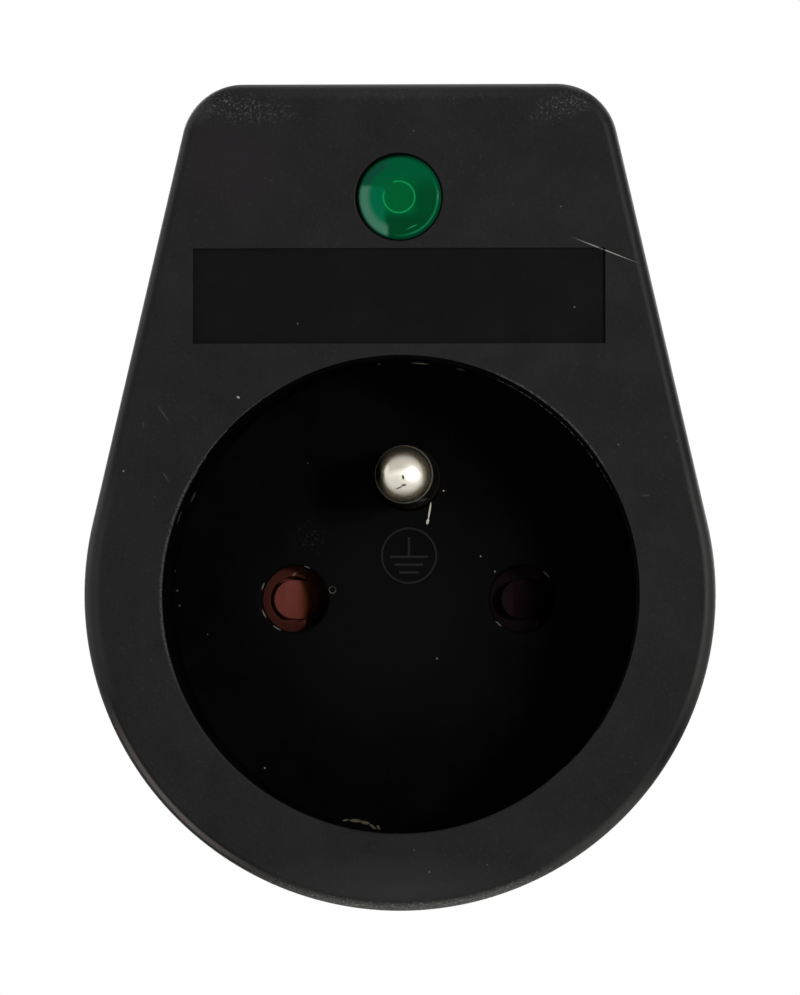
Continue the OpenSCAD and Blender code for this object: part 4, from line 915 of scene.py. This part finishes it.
# The recess's faces, and the cone faces of the scraped step on its rim, take that darker copy, so
# their shade is painted.
for face in front_shell.data.polygons:
    centre = face.center * 1000
    out = -centre.y
    from_axis = math.hypot(centre.x, centre.z)
    in_panel = abs(centre.x) < PANEL_X + 0.01 and abs(centre.z - PANEL_Y) < PANEL_HALF + 0.01
    if in_panel and FRONT_Z - PANEL_DEPTH - 0.05 < out < FRONT_Z - 0.05:
        face.material_index = 1
    elif from_axis < RECESS_RADIUS + 0.05 and RECESS_BACK - 0.1 < out < FRONT_Z - 0.15:
        face.material_index = 2
    elif abs(math.hypot(centre.x - WORN_MIDDLE[0], centre.z - WORN_MIDDLE[1]) - WORN_RADIUS
             - out + WORN_LOW) < 0.02:
        face.material_index = 2
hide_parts("front_housing")
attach(front_shell, "body")


# Earth sign. The common sign for an earth terminal, raised on the floor of the recess in one
# with the moulding: a ring round a stem and three bars.
SIGN_X = 0.05
SIGN_Y = 3.6
SIGN_RADIUS = 2.27
SIGN_STROKE = 0.2
SIGN_STEM = 1.65
SIGN_HEIGHT = 0.12
SIGN_EDGE = 0.04
sign_in = SIGN_RADIUS - SIGN_STROKE / 2
sign_out = SIGN_RADIUS + SIGN_STROKE / 2
sign_low = RECESS_FLOOR - 0.1
sign_top = RECESS_FLOOR + SIGN_HEIGHT
sign = turned_solid("earth_sign", [
    (sign_in, sign_low), (sign_in, sign_top - SIGN_EDGE), (sign_in + SIGN_EDGE, sign_top),
    (sign_out - SIGN_EDGE, sign_top), (sign_out, sign_top - SIGN_EDGE), (sign_out, sign_low),
    (sign_in, sign_low)], SIGN_X, SIGN_Y, steps=72)
bars = [(SIGN_X - SIGN_STROKE / 2, SIGN_Y - 0.1, SIGN_STROKE, SIGN_STEM)]
for half, drop in ((1.6, 0.1), (1.2, 0.75), (0.8, 1.4)):
    bars.append((SIGN_X - half, SIGN_Y - drop - 0.1, 2 * half, SIGN_STROKE))
for x, y, wide, high in bars:
    work_on(sign, "UNION", [block((x, y, sign_low), (x + wide, y + high, sign_top))])
stand_up(sign)
sign_black = moulded_colour("rubbed_black_polycarbonate", "#1a1a1a", "#232323", 0.4, 0.3, 0.03)
sign.data.materials.append(sign_black)
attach(sign, "body")


# Indicator lens. A round button of clear green polycarbonate behind the front wall. Its face
# is slightly crowned, and a blind hole at the back makes room for the status light.
LENS_RADIUS = 3.5
LENS_TOP = 53.65
LENS_FACE = 3.3
CROWN_RADIUS = 17.217
LENS_BACK = 50.5
LENS_RIM = 53.12
LENS_FLANGE = 4.3
LENS_FLANGE_TOP = 51.7
LENS_BORE = 1.3
LENS_BORE_TOP = 52.3
lens_profile = [
    (0, LENS_BORE_TOP), (LENS_BORE, LENS_BORE_TOP), (LENS_BORE, LENS_BACK),
    (LENS_FLANGE - 0.1, LENS_BACK), (LENS_FLANGE, LENS_BACK + 0.1),
    (LENS_FLANGE, LENS_FLANGE_TOP - 0.1), (LENS_FLANGE - 0.1, LENS_FLANGE_TOP),
    (LENS_RADIUS, LENS_FLANGE_TOP), (LENS_RADIUS, LENS_RIM), (LENS_RADIUS - 0.03, LENS_RIM + 0.06),
    (LENS_FACE + 0.03, LENS_RIM + 0.19), (LENS_FACE - 0.04, LENS_RIM + 0.215)]
for i in range(1, 13):
    radius = LENS_FACE * (1 - i / 12)
    lens_profile.append((radius, LENS_TOP - CROWN_RADIUS
                         + math.sqrt(CROWN_RADIUS ** 2 - radius ** 2)))
lens = stand_up(turned_solid("lens_button", lens_profile, 0.0, LENS_Y))
# Clear polycarbonate, emerald green, with its light and shade painted into its colour: a painted
# glow brightest in the middle and on the left, painted shade to the right, below, round the outer
# rim and darkest on the upper left rim, a pale painted reflection along the lower left rim, a teal
# painted reflection on the upper left, a painted highlight and a small painted glint along the
# lower right rim, and the rim of the blind hole painted as a bright ring, broken on the upper left.
lens_green, tree, shader, place = start_material("clear_green_polycarbonate")
lens_place = add_node(tree, "Mapping", {"Vector": place, "Scale": (1000, 0, 1000),
                                        "Location": (0, 0, -LENS_Y)})
from_middle = add_node(tree, "VectorMath", {0: lens_place.outputs[0]}, operation="LENGTH")
away = from_middle.outputs["Value"]
lens_across = add_node(tree, "SeparateXYZ", {0: lens_place.outputs[0]})
across = lens_across.outputs["X"]
upward = lens_across.outputs["Z"]


def lens_step(value, start, end):
    """A soft step across the lens, from 0 at its start to 1 at its end, in millimetres."""
    return add_node(tree, "MapRange", {"Value": value, "From Min": start, "From Max": end},
                    interpolation_type="SMOOTHSTEP").outputs[0]


def lens_ring(radius, half_width):
    """A thin ring round the lens's middle."""
    off = add_node(tree, "Math", {0: away, 1: radius}, operation="SUBTRACT")
    off = add_node(tree, "Math", {0: off.outputs[0]}, operation="ABSOLUTE")
    return lens_step(off.outputs[0], half_width, half_width * 0.3)


# Painted light and shade laid over the lens's green, one row at a time.
lens_painted_light = [
    ("#01592c", lens_step(away, 2.4, 0.6)),
    ("#014321", lens_step(across, 0.6, 1.9), lens_step(upward, 2.2, 0.2)),
    ("#013f20", lens_step(upward, -1.0, -1.9)),
    ("#0f4535", lens_ring(2.9, 0.5), lens_step(across, -0.4, -1.6), lens_step(upward, 0.4, 1.2)),
    ("#02603f", lens_step(across, -0.95, -1.35), lens_step(upward, 1.1, 0.6)),
    ("#3e715b", lens_step(away, 2.2, 2.85), lens_step(across, -0.75, -1.1),
     lens_step(upward, 1.1, 0.7)),
    ("#01402a", lens_step(away, 3.2, 3.46)),
    ("#01200f", lens_step(away, 3.1, 3.46),
     spot(tree, place, (-2.2, FRONT_Z, LENS_Y + 1.4), (4.6, 3, 4.2), 0.4, 30.0)),
    ("#0f8a4a", lens_ring(1.29, 0.09),
     lens_step(spot(tree, place, (-1.0, FRONT_Z, LENS_Y + 1.0), (0.7, 3, 0.7)), 0.6, 0.1)),
    ("#0f6a44", lens_ring(3.16, 0.12),
     spot(tree, place, (2.6, FRONT_Z, LENS_Y - 1.6), (3.2, 3, 3.6), 0.5, -35.0)),
    ("#14774a", spot(tree, place, (1.1, FRONT_Z, LENS_Y - 2.45), (0.65, 3, 0.08), 0.6, 24.0)),
]
colour = hex_colour("#015432")
for tone, *masks in lens_painted_light:
    colour = lay_tone(tree, colour, tone, *masks)
set_inputs(tree, shader, {"Base Color": colour, "Roughness": 0.08, "Specular IOR Level": 0.01})
lens.data.materials.append(lens_green)
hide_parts("indicator_lens")
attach(lens, "body")


# Socket earth pin. A turned, nickel-plated brass pin with a domed end that stands in the
# recess and meets a plug's earth before its other pins. It is riveted to the strap.
DOME_RADIUS = 2.75
DOME_LEAN = 57.92
DOME_TOP = 50.1
SIDE_TOP = 48.02
HEAD_RADIUS = 2.1
HEAD_LOW = 33.7
STRAP_LEVELS = (34.3, 35.1)
STEM_RADIUS = 1.6
SEAT_RADIUS = 3.5
COLLAR_RADIUS = 2.6
COLLAR_LEVELS = (36.2, 38.6)
SHOULDER_LEVELS = (48.0, 48.8)
PIN_OFF = (0.13, 0.13)
earth_profile = [
    (0, HEAD_LOW), (HEAD_RADIUS - 0.3, HEAD_LOW), (HEAD_RADIUS, HEAD_LOW + 0.2),
    (HEAD_RADIUS, STRAP_LEVELS[0]), (STEM_RADIUS, STRAP_LEVELS[0]), (STEM_RADIUS, STRAP_LEVELS[1]),
    (SEAT_RADIUS, STRAP_LEVELS[1]), (SEAT_RADIUS, RECESS_BACK), (COLLAR_RADIUS, RECESS_BACK),
    (COLLAR_RADIUS, RECESS_FLOOR - 0.08), (COLLAR_RADIUS - 0.08, RECESS_FLOOR),
    (PIN_RADIUS, RECESS_FLOOR), (PIN_RADIUS, SIDE_TOP)]
earth_profile += arc_points(0, DOME_TOP - DOME_RADIUS, DOME_RADIUS, 90 - DOME_LEAN, 90, 16)
socket_pin = stand_up(turned_solid("socket_earth_pin", earth_profile, PIN_OFF[0],
                                   EARTH_Y + PIN_OFF[1], steps=72))
# The pin's plate is scuffed and brown, and darker on the left. The bright middle of its dome is a
# painted highlight, made brightest below by a painted reflection, and it is scratched there. Its
# shoulder is rubbed matt, painted shade darkens its side, and its collar is dark with dirt and
# painted shade.
pin_scratches_and_light = [
    ("#15100b", ((-2.1, 49.3, 10.2), (1.3, 3.0, 2.6), 0.8)),
    ("#c0baad", ((0.17, 50.0, 10.1), (1.65, 3.0, 1.84), 0.1)),
    ("#f0ebde", ((0.25, 49.8, 9.6), (1.9, 1.5, 1.1), 0.35)),
    ("#4c4437", ((0.16, 50.0, 9.86), (0.14, 0.5, 0.26), 0.5, 8.0)),
    ("#5a5142", ((0.21, 49.9, 9.21), (0.28, 0.5, 0.13), 0.6, 8.0)),
    ("#5a5142", ((-0.2, 49.9, 8.98), (0.46, 0.5, 0.08), 0.6, 22.0)),
    ("#3c3a35", ((0.13, 43.0, 10.13), (6.0, 5.3, 6.0), 0.06)),
]
socket_plate = metal("scuffed_nickel_plate_painted_light", "#cfc4ac", "#5e5340", 0.34, 9000.0, (0.1, 1.0, 0.1),
                     pin_scratches_and_light, patch_scale=4500.0)
rubbed_plate = metal("rubbed_nickel_plate", "#c9c2b2", "#7d7668", 0.6, 5000.0)
# The collar's finish: dark, for dirt and painted shade.
collar_dirt_and_shade = moulded_colour("dirty_shaded_plating", "#0b0806", "#130e0a", 0.5, 0.2, 0.02)
for finish in (socket_plate, rubbed_plate, collar_dirt_and_shade):
    socket_pin.data.materials.append(finish)
for face in socket_pin.data.polygons:
    out = -1000 * face.center.y
    if SHOULDER_LEVELS[0] < out < SHOULDER_LEVELS[1]:
        face.material_index = 1
    elif COLLAR_LEVELS[0] < out < COLLAR_LEVELS[1]:
        face.material_index = 2
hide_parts("earth_pin")
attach(socket_pin, "body")


# Housing screws. Three zinc-plated pan-head screws with a cross recess: two in the top corners
# and one in the nose, all driven from the wall side.
# Bright zinc: a cool, slightly milky silver.
zinc_plate = metal("bright_zinc_plate", "#b9bdc2", "#a3a8ae", 0.3, 4000.0)
finish_node("housing_screws", zinc_plate, 0.15)
